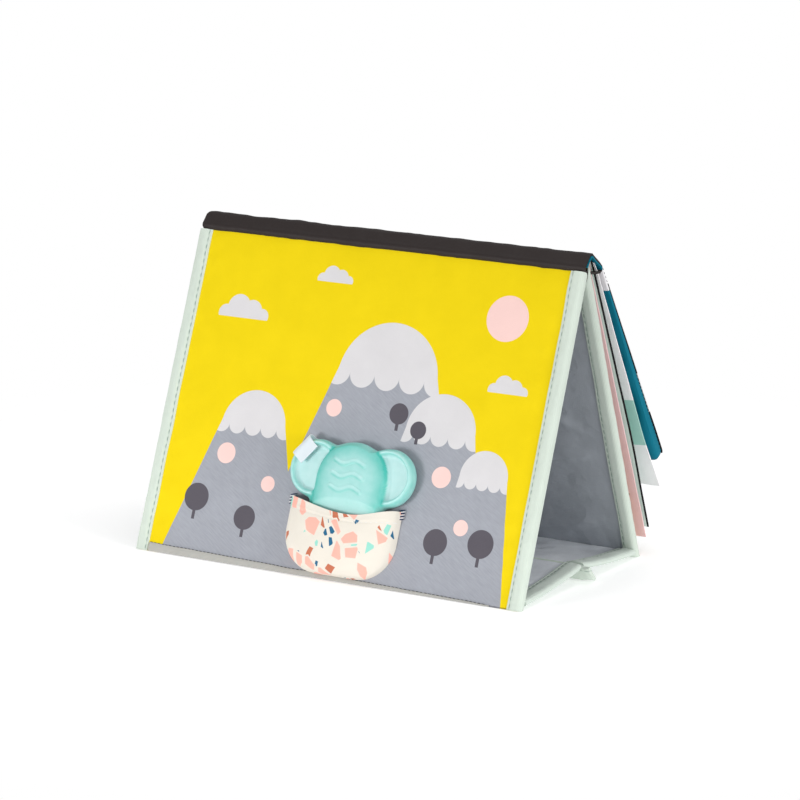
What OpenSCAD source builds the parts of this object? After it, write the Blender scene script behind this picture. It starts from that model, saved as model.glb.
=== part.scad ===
// Tummy time book: a soft cloth book that stands on the floor as a tent.
// X runs across the book, -Y is its front, +Z is up, and the ground is z = 0.
// The origin lies on the ground, at the centre of the whole book's outline.

/* [Tent] */
// Width of the covers, pages and floor
book_w = 250; // [210:1:300]
// Length of a cover from the ground to the ridge, along its slope
cover_l = 196.5; // [180:0.5:230]
// Distance between the outer faces of the two covers at the ground
base_d = 141; // [120:1:160]

/* [Cover layers] */
// Thickness of the printed outer cloth
face_t = 0.8; // [0.6:0.1:1.2]
// Thickness of the stiff board inside a cover
board_t = 2.2; // [1.6:0.1:3]
// Thickness of the grey lining
lining_t = 1; // [0.6:0.1:1.6]
// Thickness of the tape that binds the side edges
binding_t = 0.7; // [0.4:0.1:1]
// Width of the binding tape on each face
binding_w = 10.5; // [7:0.5:14]
// Gap left between soft pieces that move past each other
play = 0.3; // [0.2:0.05:0.5]
// Gap left between pieces that are sewn or glued together
seam_gap = 0.1; // [0.05:0.05:0.2]

/* [Spine] */
// Length of the front cover that the spine band covers
band_front_l = 7.5; // [6:0.5:10]
// Thickness of the folded satin band
band_t = 1.4; // [1:0.1:1.8]
// Radius of the band's rolled lower edges
band_edge_r = 2.4; // [2.2:0.1:3]
// How far the band stands out from the front cover
band_proud = 1.6; // [1.2:0.1:2.2]
// Radius of the band's crown
band_crown_r = 3.4; // [3:0.1:4]
// Distance of the crown behind the ridge line
crown_back = 4; // [3.5:0.1:5]
// Distance of the crown's centre below the ridge line
crown_drop = 1.2; // [0.8:0.1:1.8]
// Distance of the band's rear edge behind the ridge line
band_rear = 17.6; // [16:0.1:20]
// Distance of the band's rear edge below the ridge line
band_rear_drop = 8.8; // [7.5:0.1:10]

/* [Pages] */
// Thickness of a cloth page
page_t = 2.4; // [1.6:0.1:2.8]
// Lean of the first page from upright, in degrees
page_1_lean = 24.3; // [23.5:0.1:25]
// Length of the first page
page_1_l = 188; // [175:1:189]
// Lean of the second page
page_2_lean = 25.5; // [25:0.1:27]
// Length of the second page
page_2_l = 186; // [175:1:187]
// Lean of the third page
page_3_lean = 32; // [29:0.1:32.3]
// Length of the third page
page_3_l = 171; // [155:1:173]

/* [Back cover] */
// Length of the loose back cover below the spine
back_l = 155; // [140:1:158]
// Thickness of the padded back cover
back_t = 6.5; // [5:0.1:7]
// Thickness of the sewn edge that it hangs from
neck_t = 1.8; // [1.4:0.1:2.2]
// Length of that sewn edge
neck_l = 8; // [6:0.5:10]
// Lean of the back cover from upright, in degrees
back_lean = 31.8; // [31.8:0.1:34]
// Thickness of the printed cloth on its outer side
back_print_t = 0.4; // [0.3:0.1:0.6]

/* [Floor] */
// Thickness of the soft floor
floor_t = 2; // [1.4:0.1:2.6]
// Height of the floor's middle line at the covers
floor_edge_h = 2.4; // [2.4:0.1:3.2]
// Height of the floor's middle line at the centre seam
floor_peak_h = 9.4; // [8:0.2:12]
// Width of the hanging seam allowance under the peak
flange_t = 2.2; // [1.6:0.1:2.8]
// How far the allowance leans back at its foot
flange_lean = 4; // [2:0.5:5]
// Clear height under the allowance
flange_lift = 0.6; // [0.4:0.1:1]
// Height of the grey hem at the front cover's left foot
hem_left_h = 4.5; // [3.5:0.5:8]
// Height of the same hem at its right end
hem_right_h = 1.2; // [1:0.1:2]
// Thickness of that hem
hem_t = 0.5; // [0.3:0.1:0.7]
// Share of the front cover's width that the hem runs along
hem_share = 0.86; // [0.7:0.02:0.9]

/* [Pocket] */
// Width of the pocket where it is sewn on
pocket_w = 71; // [66:1:84]
// Height of the pocket
pocket_h = 41; // [36:1:48]
// Height of the pocket's lower edge above the ground, along the cover
pocket_v = 2.5; // [2:0.5:6]
// Distance of the pocket's middle from the cover's middle
pocket_u = 7; // [-10:1:10]
// Radius of its lower corners
pocket_r = 24; // [18:1:28]
// How far the pocket stands out
pocket_out = 12; // [11:0.5:14]
// How far its sides draw in towards the front
pocket_draw = 8; // [6:0.5:9]
// Thickness of the pocket cloth
pocket_t = 1.2; // [0.8:0.1:1.6]
// Thickness of the printed shapes on cloth
print_t = 0.2; // [0.1:0.05:0.3]

/* [Teether] */
// Thickness of the silicone teether
teether_t = 8; // [7:0.5:8.5]
// Distance between the centres of its two side lobes
lobe_span = 47; // [46:1:52]
// Radius of a side lobe
lobe_r = 16.5; // [15:0.5:17]
// Height of the side lobes' centres along the cover
lobe_v = 60.5; // [60:0.5:64]
// Radius of the middle lobe
crown_lobe_r = 22; // [18:0.5:22]
// Height of the middle lobe's centre along the cover
crown_lobe_v = 56; // [56:1:62]
// Width of the part that sits in the pocket
stem_w = 46; // [36:1:48]
// How much each face is smaller than the middle, for a round rim
rim_inset = 1.6; // [1:0.1:2]
// Width of the satin loop on the left lobe
ribbon_w = 13; // [9:0.5:13]
// Length of the satin loop
ribbon_l = 11; // [10:0.5:15]
// Thickness of the satin loop
ribbon_t = 0.6; // [0.4:0.1:0.8]

/* [Hidden] */

yellow = [0.97, 0.87, 0.07];
mint_tape = [0.80, 0.88, 0.83];
lining_grey = [0.52, 0.54, 0.58];
floor_grey = [0.62, 0.62, 0.66];
satin_black = [0.22, 0.19, 0.18];
hem_grey = [0.70, 0.69, 0.68];
print_grey_c = [0.67, 0.68, 0.72];
print_light_c = [0.84, 0.84, 0.84];
print_pink_c = [0.95, 0.80, 0.78];
print_dark_c = [0.33, 0.31, 0.35];
cream = [0.94, 0.91, 0.87];
chip_salmon = [0.96, 0.71, 0.66];
chip_rust = [0.75, 0.45, 0.35];
chip_teal = [0.16, 0.42, 0.55];
chip_mint = [0.62, 0.86, 0.80];
silicone = [0.60, 0.85, 0.82];
white_satin = [0.92, 0.92, 0.93];
page_white = [0.85, 0.83, 0.83];
back_teal = [0.02, 0.43, 0.53];
ink = [0.08, 0.08, 0.09];
white = [0.93, 0.93, 0.93];

half_w = book_w / 2;
half_d = base_d / 2;
lean = asin(half_d / cover_l);
ridge_h = cover_l * cos(lean);
cover_t = face_t + board_t + lining_t;
board_mid = face_t + board_t / 2;
bound_t = cover_t + binding_t;

// The front cover turns about the middle of its board. The line lies where the two inner
// faces come together when the tent is folded flat.
fold_room = 2 * bound_t - board_mid + play;
hinge_v = (base_d * cos(lean) - board_mid * cos(2 * lean) - fold_room) / sin(2 * lean);
face_top_v = cover_l - band_front_l - play;
rear_face_drop = 4;
rear_face_top_v = cover_l - rear_face_drop;

// Points of the section across the tent, as [y, z], from a place v up a cover and w outwards.
function front_at(v, w) = [-half_d + v * sin(lean) - w * cos(lean), v * cos(lean) + w * sin(lean)];
function rear_at(v, w) = [-front_at(v, w)[0], front_at(v, w)[1]];
function along(angle, length) = [length * sin(angle), -length * cos(angle)];
function between(a, b, share) = a + (b - a) * share;

band_front_c = front_at(cover_l - band_front_l + band_edge_r, band_proud - band_edge_r);
band_crown_c = [crown_back, ridge_h - crown_drop];
band_rear_c = [band_rear, ridge_h - band_rear_drop];

// The pages are sewn together in a block under the band, from the rear cover to the rear edge.
block_r = band_edge_r - band_t - seam_gap;
block_front_c = rear_at(rear_face_top_v - block_r, block_r + seam_gap);
page_1_root = between(block_front_c, band_rear_c, 0.12);
page_2_root = between(block_front_c, band_rear_c, 0.52);
page_3_root = between(block_front_c, band_rear_c, 0.76);
page_3_tip = page_3_root + along(page_3_lean, page_3_l);

// The back cover hangs from a line just outside the band's rear edge.
neck_r = neck_t / 2;
back_r = back_t / 2;
back_hinge = band_rear_c + (band_edge_r + neck_r + play) * [cos(back_lean), sin(back_lean)];
back_tip = back_hinge + along(back_lean, back_l - back_r);

// The origin is the middle of the whole outline, from the pocket's foot to the last page or cover.
pocket_foot_v = pocket_v + pocket_draw;
rear_reach = max(back_tip[0] + back_r, page_3_tip[0] + page_t / 2);
front_reach = min(front_at(pocket_foot_v, pocket_out)[0], -half_d - binding_t / cos(lean));
mid_y = (rear_reach + front_reach) / 2;

floor_front_edge = [-half_d, floor_edge_h];
floor_rear_edge = [half_d, floor_edge_h];
floor_peak = [0, floor_peak_h];
flange_half = flange_t / 2;

stem_play = 2 * play;
teether_back = ribbon_t + print_t + 2 * play;
stem_v = pocket_foot_v + stem_play;
reach = 4 * max(book_w, cover_l);

// Places a section drawn in y and z along the whole width, between two x values.
module across(x0, x1) {
    translate([x0, -mid_y, 0]) rotate([90, 0, 90]) linear_extrude(x1 - x0) children();
}

// Places flat work on the front cover: x across, y up the slope, z outwards.
module on_front() {
    translate([0, -half_d - mid_y, 0]) rotate([90 - lean, 0, 0]) children();
}

// Places flat work on the rear cover, as the mirror image of the front.
module on_rear() {
    translate([0, -mid_y, 0]) mirror([0, 1, 0]) translate([0, -half_d, 0])
        rotate([90 - lean, 0, 0]) children();
}

// Places flat work on the back cover's middle plane: x across, y down its length, z outwards.
module on_back() {
    translate([0, back_hinge[0] - mid_y, back_hinge[1]]) rotate([back_lean - 90, 0, 0]) children();
}

// Cuts away what would reach below the ground, so that the foot is flat.
module above_ground() {
    difference() {
        children();
        translate([-reach / 2, -reach / 2, -reach]) cube(reach);
    }
}

module slab(u0, u1, v0, v1, w0, w1) {
    translate([u0, v0, w0]) cube([u1 - u0, v1 - v0, w1 - w0]);
}

// Larger circles have more sides.
function round_sides(r) = r > 12 ? 48 : r > 4 ? 28 : 16;

module disc_at(p, r) {
    translate(p) circle(r, $fn = round_sides(r));
}

// A straight strip with round ends, from a to b.
module strip(a, b, width) {
    run = norm(b - a);
    angle = atan2(b[1] - a[1], b[0] - a[0]);
    translate(a) rotate(angle) translate([0, -width / 2]) square([run, width]);
    disc_at(a, width / 2);
    disc_at(b, width / 2);
}

// The spine: a satin band folded over the ridge and over the sewn ends of the pages.
module band_outline(shrink) {
    hull() {
        disc_at(band_front_c, band_edge_r - shrink);
        disc_at(band_crown_c, band_crown_r - shrink);
        disc_at(band_rear_c, band_edge_r - shrink);
    }
}

module spine_band() {
    color(satin_black) across(-half_w - binding_t, half_w + binding_t) difference() {
        band_outline(0);
        hull() {
            band_outline(band_t);
            translate([0, -ridge_h / 2]) band_outline(band_t);
        }
    }
}

// One binding tape: a channel over a cover's right edge. Its outer lip may run further up.
module side_tape(lip_top_v) {
    difference() {
        slab(half_w - binding_w, half_w + binding_t, -bound_t, hinge_v, -bound_t, binding_t);
        slab(half_w - reach, half_w, -reach / 2, reach, -cover_t, 0);
    }
    if (lip_top_v > hinge_v) {
        slab(half_w - binding_w, half_w + binding_t, hinge_v, lip_top_v, 0, binding_t);
        slab(half_w, half_w + binding_t, hinge_v, lip_top_v, -face_t, 0);
    }
}

module front_binding(side) {
    color(mint_tape) above_ground() on_front() scale([side, 1, 1]) side_tape(face_top_v);
}

module rear_binding(side) {
    color(mint_tape) above_ground() on_rear() scale([side, 1, 1]) side_tape(hinge_v);
}

// The three layers of a cover. The board's top edge is round about the line it folds on.
module face_layer(top_v) {
    slab(-half_w, half_w, -cover_t, top_v, -face_t, 0);
}

module board_layer() {
    slab(-half_w, half_w, -cover_t, hinge_v, -face_t - board_t, -face_t);
    translate([0, hinge_v, -board_mid]) rotate([0, 90, 0]) cylinder(h = book_w, d = board_t, center = true, $fn = 48);
}

module lining_layer() {
    slab(-half_w, half_w, -cover_t, hinge_v, -cover_t, -face_t - board_t);
}

module rear_panel_face() {
    color(yellow) above_ground() on_rear() face_layer(rear_face_top_v);
}

module rear_panel_board() {
    color(cream) above_ground() on_rear() board_layer();
}

module rear_panel_lining() {
    color(lining_grey) above_ground() on_rear() lining_layer();
}

module front_cover_face() {
    color(yellow) above_ground() on_front() face_layer(face_top_v);
}

module front_cover_board() {
    color(cream) above_ground() on_front() board_layer();
}

module front_cover_lining() {
    color(lining_grey) above_ground() on_front() lining_layer();
}

// The pages are one sewn block with three leaves that fan out behind the rear cover.
module pages() {
    color(page_white) across(-half_w, half_w) {
        hull() {
            disc_at(block_front_c, block_r);
            disc_at(band_crown_c, band_crown_r - band_t - seam_gap);
            disc_at(band_rear_c, block_r);
        }
        strip(page_1_root, page_1_root + along(page_1_lean, page_1_l), page_t);
        strip(page_2_root, page_2_root + along(page_2_lean, page_2_l), page_t);
        strip(page_3_root, page_3_tip, page_t);
    }
}

// The loose back cover: a thin sewn edge that widens into a padded leaf with a round foot.
module back_cover_pad() {
    taper = 2 * (back_r - neck_r);
    color(back_teal) across(-half_w, half_w) translate(back_hinge) rotate(back_lean - 90) {
        circle(neck_r, $fn = 48);
        polygon([[0, -neck_r], [neck_l, -neck_r], [neck_l + taper, -back_r], [back_l - back_r, -back_r],
            [back_l - back_r, back_r], [neck_l + taper, back_r], [neck_l, neck_r], [0, neck_r]]);
        translate([back_l - back_r, 0]) circle(back_r, $fn = 48);
    }
}

// The printed outer side of the back cover, in the back cover's own plane.
back_print_top = neck_l + 2 * back_r;
back_print_foot = back_l - back_r;
back_stripe_share = [0.50, 0.72];
back_dot_share = 0.90;
back_dot_r = 3.4;
back_dots = 16;

module back_field() {
    translate([-half_w, back_print_top]) square([book_w, back_print_foot - back_print_top]);
}

module back_pattern() {
    length = back_print_foot - back_print_top;
    intersection() {
        back_field();
        union() {
            translate([-half_w, back_print_top + length * back_stripe_share[0]])
                square([book_w, length * (back_stripe_share[1] - back_stripe_share[0])]);
            for (i = [0 : back_dots - 1])
                translate([-half_w + book_w * (i + 0.5) / back_dots, back_print_top + length * back_dot_share])
                    circle(back_dot_r);
        }
    }
}

module on_back_outer() {
    on_back() translate([0, 0, back_r]) linear_extrude(back_print_t) children();
}

module back_cover_face() {
    color(ink) on_back_outer() difference() {
        back_field();
        back_pattern();
    }
}

module back_cover_print() {
    color(white) on_back_outer() back_pattern();
}

// The floor: two soft halves that meet in a raised seam with a hanging allowance. Each half
// ends at its own side of the seam.
module floor_half(edge, thickness) {
    cut = flange_half + seam_gap;
    difference() {
        strip(edge, floor_peak, thickness);
        translate([edge[0] < 0 ? -cut : cut - floor_peak_h, 0]) square([floor_peak_h, 3 * floor_peak_h]);
    }
}

// Trims the floor back from the covers that it is sewn to.
module between_covers(front_gap, rear_gap) {
    difference() {
        children();
        on_front() slab(-reach / 2, reach / 2, -reach / 2, reach / 2, -bound_t - front_gap, reach / 4);
        on_rear() slab(-reach / 2, reach / 2, -reach / 2, reach / 2, -bound_t - rear_gap, reach / 4);
    }
}

module floor_cloth(edge) {
    between_covers(play, seam_gap) across(-half_w, half_w) floor_half(edge, floor_t);
}

module floor_tape(edge, side) {
    between_covers(play, seam_gap) scale([side, 1, 1]) difference() {
        across(half_w - binding_w, half_w + binding_t) floor_half(edge, floor_t + 2 * binding_t);
        across(half_w - reach, half_w) floor_half(edge, floor_t);
    }
}

module floor_front() {
    color(floor_grey) floor_cloth(floor_front_edge);
}

module floor_rear() {
    color(floor_grey) floor_cloth(floor_rear_edge);
}

module floor_front_binding(side) {
    color(mint_tape) floor_tape(floor_front_edge, side);
}

module floor_rear_binding(side) {
    color(mint_tape) floor_tape(floor_rear_edge, side);
}

module floor_seam_flange() {
    top = floor_peak_h + floor_t / 2;
    color(mint_tape) across(-half_w, half_w)
        polygon([[-flange_half, floor_peak_h - floor_t], [-flange_half, top], [flange_half, top],
            [flange_half, floor_peak_h - floor_t], [flange_lean + flange_half, flange_lift],
            [flange_lean - flange_half, flange_lift]]);
}

// The grey hem along the front cover's foot, which tapers out towards the right.
module front_bottom_hem() {
    left = -half_w + binding_w + seam_gap;
    right = left + hem_share * (book_w - 2 * binding_w);
    color(hem_grey) above_ground() on_front() linear_extrude(hem_t) difference() {
        polygon([[left, -bound_t], [left, hem_left_h], [right, hem_right_h], [right, -bound_t]]);
        pocket_outline(seam_gap);
    }
}

// The printed picture: round hills with pale tops, clouds, a sun and little trees.
// A hill is [middle, height, top radius, foot width].
hills = [[-64, 100, 21, 92], [88, 84, 15, 50], [16, 148, 32, 138], [56, 112, 22, 86]];
clouds = [[-86, 142, 1], [-30, 168, 0.7], [92, 118, 0.75]];
cloud_puffs = [[-11, 0, 5], [-3, 4, 7.5], [6, 2.5, 6.5], [13, 0, 4.5]];
sun = [84, 158, 13];
dots = [[-78, 62, 6], [-47, 48, 4.5], [62, 66, 6], [80, 40, 4.5], [-14, 96, 5]];
trees = [[-92, 22, 8], [-58, 16, 7], [66, 18, 7.5], [94, 20, 8], [28, 88, 6], [42, 82, 5]];
cap_share = 0.72;
shoulder_share = 0.985;
tree_trunk_w = 2;
print_margin = 1;

module print_window() {
    inner = half_w - binding_w - print_margin;
    difference() {
        translate([-inner, hem_left_h + print_margin])
            square([2 * inner, face_top_v - hem_left_h - 2 * print_margin]);
        pocket_outline(print_margin);
    }
}

// A hill is a disc on a foot whose sides run up to the disc's shoulders.
module hill_shape(h) {
    centre_v = h[1] - h[2];
    half_foot = h[3] / 2;
    shoulder = atan2(-centre_v, half_foot) + acos(h[2] / norm([half_foot, centre_v]));
    shoulder_u = shoulder_share * h[2] * cos(shoulder);
    shoulder_v = centre_v + shoulder_share * h[2] * sin(shoulder);
    disc_at([h[0], centre_v], h[2]);
    translate([h[0], 0])
        polygon([[-half_foot, 0], [half_foot, 0], [shoulder_u, shoulder_v], [-shoulder_u, shoulder_v]]);
}

module hill_shapes() {
    for (h = hills) hill_shape(h);
}

// A pale cap with a scalloped lower edge on the top of each hill.
module cap_shapes() {
    for (h = hills) intersection() {
        hill_shape(h);
        union() {
            translate([h[0] - h[2] * 2, h[1] * cap_share + h[2] / 3]) square([h[2] * 4, h[1]]);
            for (k = [-2 : 2]) disc_at([h[0] + k * h[2] / 2, h[1] * cap_share + h[2] / 3], h[2] / 4);
        }
    }
}

module cloud_shapes() {
    for (c = clouds) translate([c[0], c[1]]) scale(c[2]) for (p = cloud_puffs) intersection() {
        disc_at([p[0], p[1]], p[2]);
        translate([-reach / 2, -2]) square([reach, reach]);
    }
}

module round_shapes() {
    disc_at([sun[0], sun[1]], sun[2]);
    for (d = dots) disc_at([d[0], d[1]], d[2]);
}

module tree_shapes() {
    for (t = trees) {
        disc_at([t[0], t[1] + 1.6 * t[2]], t[2]);
        translate([t[0] - tree_trunk_w / 2, t[1]]) square([tree_trunk_w, 1.2 * t[2]]);
    }
}

module front_print() {
    on_front() linear_extrude(print_t) intersection() {
        print_window();
        children();
    }
}

module print_grey() {
    color(print_grey_c) front_print() difference() {
        hill_shapes();
        cap_shapes();
        round_shapes();
        tree_shapes();
    }
}

module print_light() {
    color(print_light_c) front_print() difference() {
        union() {
            cap_shapes();
            difference() {
                cloud_shapes();
                hill_shapes();
            }
        }
        round_shapes();
        tree_shapes();
    }
}

module print_pink() {
    color(print_pink_c) front_print() difference() {
        round_shapes();
        tree_shapes();
    }
}

module print_dark() {
    color(print_dark_c) front_print() tree_shapes();
}

// The pocket: a cloth front sewn on along its sides and round foot, and open at the top.
module pocket_outline(grow, draw = 0) {
    half = pocket_w / 2 - draw + grow;
    foot = pocket_v + draw - grow;
    corner = pocket_r - draw + grow;
    top = pocket_v + pocket_h;
    translate([pocket_u, 0]) {
        translate([-half, foot + corner]) square([2 * half, top - foot - corner + max(grow, 0)]);
        translate([-half + corner, foot]) square([2 * (half - corner), corner + 1]);
        for (side = [-1, 1]) translate([side * (half - corner), foot + corner]) circle(corner, $fn = 40);
    }
}

module pocket_shape(shrink, over) {
    hull() {
        linear_extrude(0.1) pocket_outline(-shrink);
        translate([0, 0, pocket_out - shrink - 0.1]) linear_extrude(0.1) pocket_outline(-shrink, pocket_draw);
        if (over > 0) translate([0, over, 0]) {
            linear_extrude(0.1) pocket_outline(-shrink);
            translate([0, 0, pocket_out - shrink - 0.1]) linear_extrude(0.1) pocket_outline(-shrink, pocket_draw);
        }
    }
}

module pocket() {
    color(cream) on_front() difference() {
        pocket_shape(0, 0);
        translate([0, 0, -0.05]) pocket_shape(pocket_t, pocket_h);
    }
}

// Terrazzo chips on the pocket's front, each [across, up, radius, turn] from its lower middle.
chips_salmon = [[-17, 7, 3.4, 10], [4, 17, 4, 40], [19, 11, 2.8, 0], [-6, 25, 3, 70]];
chips_rust = [[-8, 12, 2.2, 20], [11, 24, 2.4, 50], [-20, 20, 2, 5]];
chips_teal = [[11, 8, 2.2, 60], [-13, 27, 1.8, 15], [-2, 5, 1.6, 35], [21, 21, 1.8, 45]];
chips_mint = [[-14, 17, 1.8, 30], [17, 28, 2, 65], [2, 11, 1.4, 12], [3, 27, 1.7, 25]];
chip_sides = 5;

module chips(list) {
    on_front() translate([0, 0, pocket_out]) linear_extrude(print_t) intersection() {
        pocket_outline(-2 * print_t, pocket_draw);
        for (c = list) translate([pocket_u + c[0], pocket_foot_v + c[1]]) rotate(c[3])
            circle(c[2], $fn = chip_sides);
    }
}

module pocket_chips_salmon() {
    color(chip_salmon) chips(chips_salmon);
}

module pocket_chips_rust() {
    color(chip_rust) chips(chips_rust);
}

module pocket_chips_teal() {
    color(chip_teal) chips(chips_teal);
}

module pocket_chips_mint() {
    color(chip_mint) chips(chips_mint);
}

// The teether: a cloud of three lobes whose stem sits in the pocket.
module cloud_outline(inset) {
    for (side = [-1, 1]) translate([pocket_u + side * lobe_span / 2, lobe_v]) circle(lobe_r - inset, $fn = 48);
    translate([pocket_u, crown_lobe_v]) circle(crown_lobe_r - inset, $fn = 48);
    translate([pocket_u - stem_w / 2 + inset, stem_v + inset + stem_w / 4])
        square([stem_w - 2 * inset, crown_lobe_v - stem_v - inset - stem_w / 4]);
    for (side = [-1, 1]) translate([pocket_u + side * stem_w / 4, stem_v + stem_w / 4])
        circle(stem_w / 4 - inset, $fn = 48);
    translate([pocket_u - stem_w / 4, stem_v + inset]) square([stem_w / 2, stem_w / 4]);
}

module teether() {
    color(silicone) on_front() translate([0, 0, teether_back]) {
        linear_extrude(teether_t) cloud_outline(rim_inset);
        translate([0, 0, rim_inset]) linear_extrude(teether_t - 2 * rim_inset) cloud_outline(0);
    }
}

// A satin loop folded over the rim of the left lobe.
module teether_ribbon() {
    fold = ribbon_t + play;
    color(white_satin) on_front() translate([pocket_u - lobe_span / 2, lobe_v, 0]) rotate(45)
        difference() {
            translate([-ribbon_w / 2, lobe_r + fold - ribbon_l, teether_back - fold])
                cube([ribbon_w, ribbon_l, teether_t + 2 * fold]);
            translate([-ribbon_w, -lobe_r, teether_back - play])
                cube([2 * ribbon_w, 2 * lobe_r + play, teether_t + 2 * play]);
        }
}

spine_band();
rear_panel_face();
rear_panel_board();
rear_panel_lining();
rear_binding(-1);  // rear_binding_left
rear_binding(1);  // rear_binding_right
pages();
floor_front();
floor_rear();
floor_front_binding(-1);  // floor_front_binding_left
floor_front_binding(1);  // floor_front_binding_right
floor_rear_binding(-1);  // floor_rear_binding_left
floor_rear_binding(1);  // floor_rear_binding_right
floor_seam_flange();
front_cover_face();
front_cover_board();
front_cover_lining();
front_binding(-1);  // front_binding_left
front_binding(1);  // front_binding_right
front_bottom_hem();
print_grey();
print_light();
print_pink();
print_dark();
pocket();
pocket_chips_salmon();
pocket_chips_rust();
pocket_chips_teal();
pocket_chips_mint();
teether();
teether_ribbon();
back_cover_pad();
back_cover_face();
back_cover_print();
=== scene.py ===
"""Tummy time book: a soft cloth tent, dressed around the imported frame.

Lengths in the classes are millimetres, as in the part's source. Tent turns them into metres in
the shared frame. u runs across the book, v up a cover from the ground, and w out of its face.
"""

import logging
import math
from dataclasses import dataclass, field, replace
from enum import Enum
from typing import Callable, Sequence

import bmesh
import bpy
from mathutils import Matrix, Vector, noise
from mathutils.bvhtree import BVHTree


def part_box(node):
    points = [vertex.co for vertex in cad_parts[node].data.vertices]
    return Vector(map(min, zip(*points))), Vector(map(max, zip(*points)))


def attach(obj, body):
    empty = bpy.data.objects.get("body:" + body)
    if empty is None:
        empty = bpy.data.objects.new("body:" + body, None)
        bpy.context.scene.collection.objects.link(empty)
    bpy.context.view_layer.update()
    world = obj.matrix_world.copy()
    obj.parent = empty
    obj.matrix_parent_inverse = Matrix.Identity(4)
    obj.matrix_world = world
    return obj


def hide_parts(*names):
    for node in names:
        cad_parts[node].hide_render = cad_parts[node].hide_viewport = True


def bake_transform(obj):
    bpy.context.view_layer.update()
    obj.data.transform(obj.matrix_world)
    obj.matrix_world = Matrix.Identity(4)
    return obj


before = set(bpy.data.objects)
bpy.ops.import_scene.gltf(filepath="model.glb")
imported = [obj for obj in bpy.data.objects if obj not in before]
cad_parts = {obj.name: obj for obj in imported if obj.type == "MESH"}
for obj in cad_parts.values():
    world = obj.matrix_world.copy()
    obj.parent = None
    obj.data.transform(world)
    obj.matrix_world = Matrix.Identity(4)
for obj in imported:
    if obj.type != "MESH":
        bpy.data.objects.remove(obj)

LOG = logging.getLogger("tummy_time_book")
MM = 0.001
UV_NAME = "cloth"
LINE_STEPS = 240  # Even steps of a line in a section.
GROUND_GAP = 0.02  # Least height of a piece over the ground.
PRINT_SHARPNESS = 6000.0  # How crisp a printed edge is, in units of one over a metre.
SEAM = 2.4  # Distance of a tape's stitches from its lips.
TAPE_PITCH = 4.2  # Distance between two stitches of a tape.
FILL_FRAMES = 20  # Steps of the simulation that fills the back cover.

Colour = tuple[int, int, int]
Point = tuple[float, float]
Place = Callable[[float, float, float], Vector]
Piece = bpy.types.Object
Socket = bpy.types.NodeSocket
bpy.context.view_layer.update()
FINISHED: dict[str, bpy.types.Material] = {}


def clamp(value: float, low: float = 0.0, high: float = 1.0) -> float:
    """Keeps a value between two limits."""
    return max(low, min(high, value))


def between(first: float, last: float, share: float) -> float:
    """The value a share of the way from first to last."""
    return first + (last - first) * share


def smooth(value: float, start: float = 0.0, end: float = 1.0) -> float:
    """Rises smoothly from 0 at start to 1 at end."""
    share = clamp((value - start) / (end - start))
    return share * share * (3 - 2 * share)


def quarter_round(value: float) -> float:
    """Rises from 0 at 0 to 1 at 1 as a quarter of a circle does."""
    return math.sqrt(clamp(1 - (1 - clamp(value)) ** 2))


def bump(value: float, middle: float, width: float) -> float:
    """A soft round bump of height 1 at its middle."""
    return math.exp(-(((value - middle) / width) ** 2))


def linear(colour: Colour) -> tuple[float, float, float, float]:
    """Turns a display colour from 0 to 255 into the linear values that a shader takes."""
    parts = [c / 255 for c in colour]
    parts = [p / 12.92 if p <= 0.04045 else ((p + 0.055) / 1.055) ** 2.4 for p in parts]
    return (parts[0], parts[1], parts[2], 1.0)


@dataclass(frozen=True)
class Wave:
    """Soft waves, the same in each run.

    Attributes:
        height: About how high they are.
        size: How long they are, in the units of the place.
        seed: Picks one set of waves.
    """

    height: float
    size: float
    seed: float

    def at(self, a: float, b: float = 0.0) -> float:
        """Height of the waves at a place."""
        return self.height * noise.noise(Vector((a / self.size, b / self.size, self.seed)))


def added(waves: Sequence[Wave], a: float, b: float) -> float:
    """Height of several waves together at a place."""
    return sum(wave.at(a, b) for wave in waves)


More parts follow.
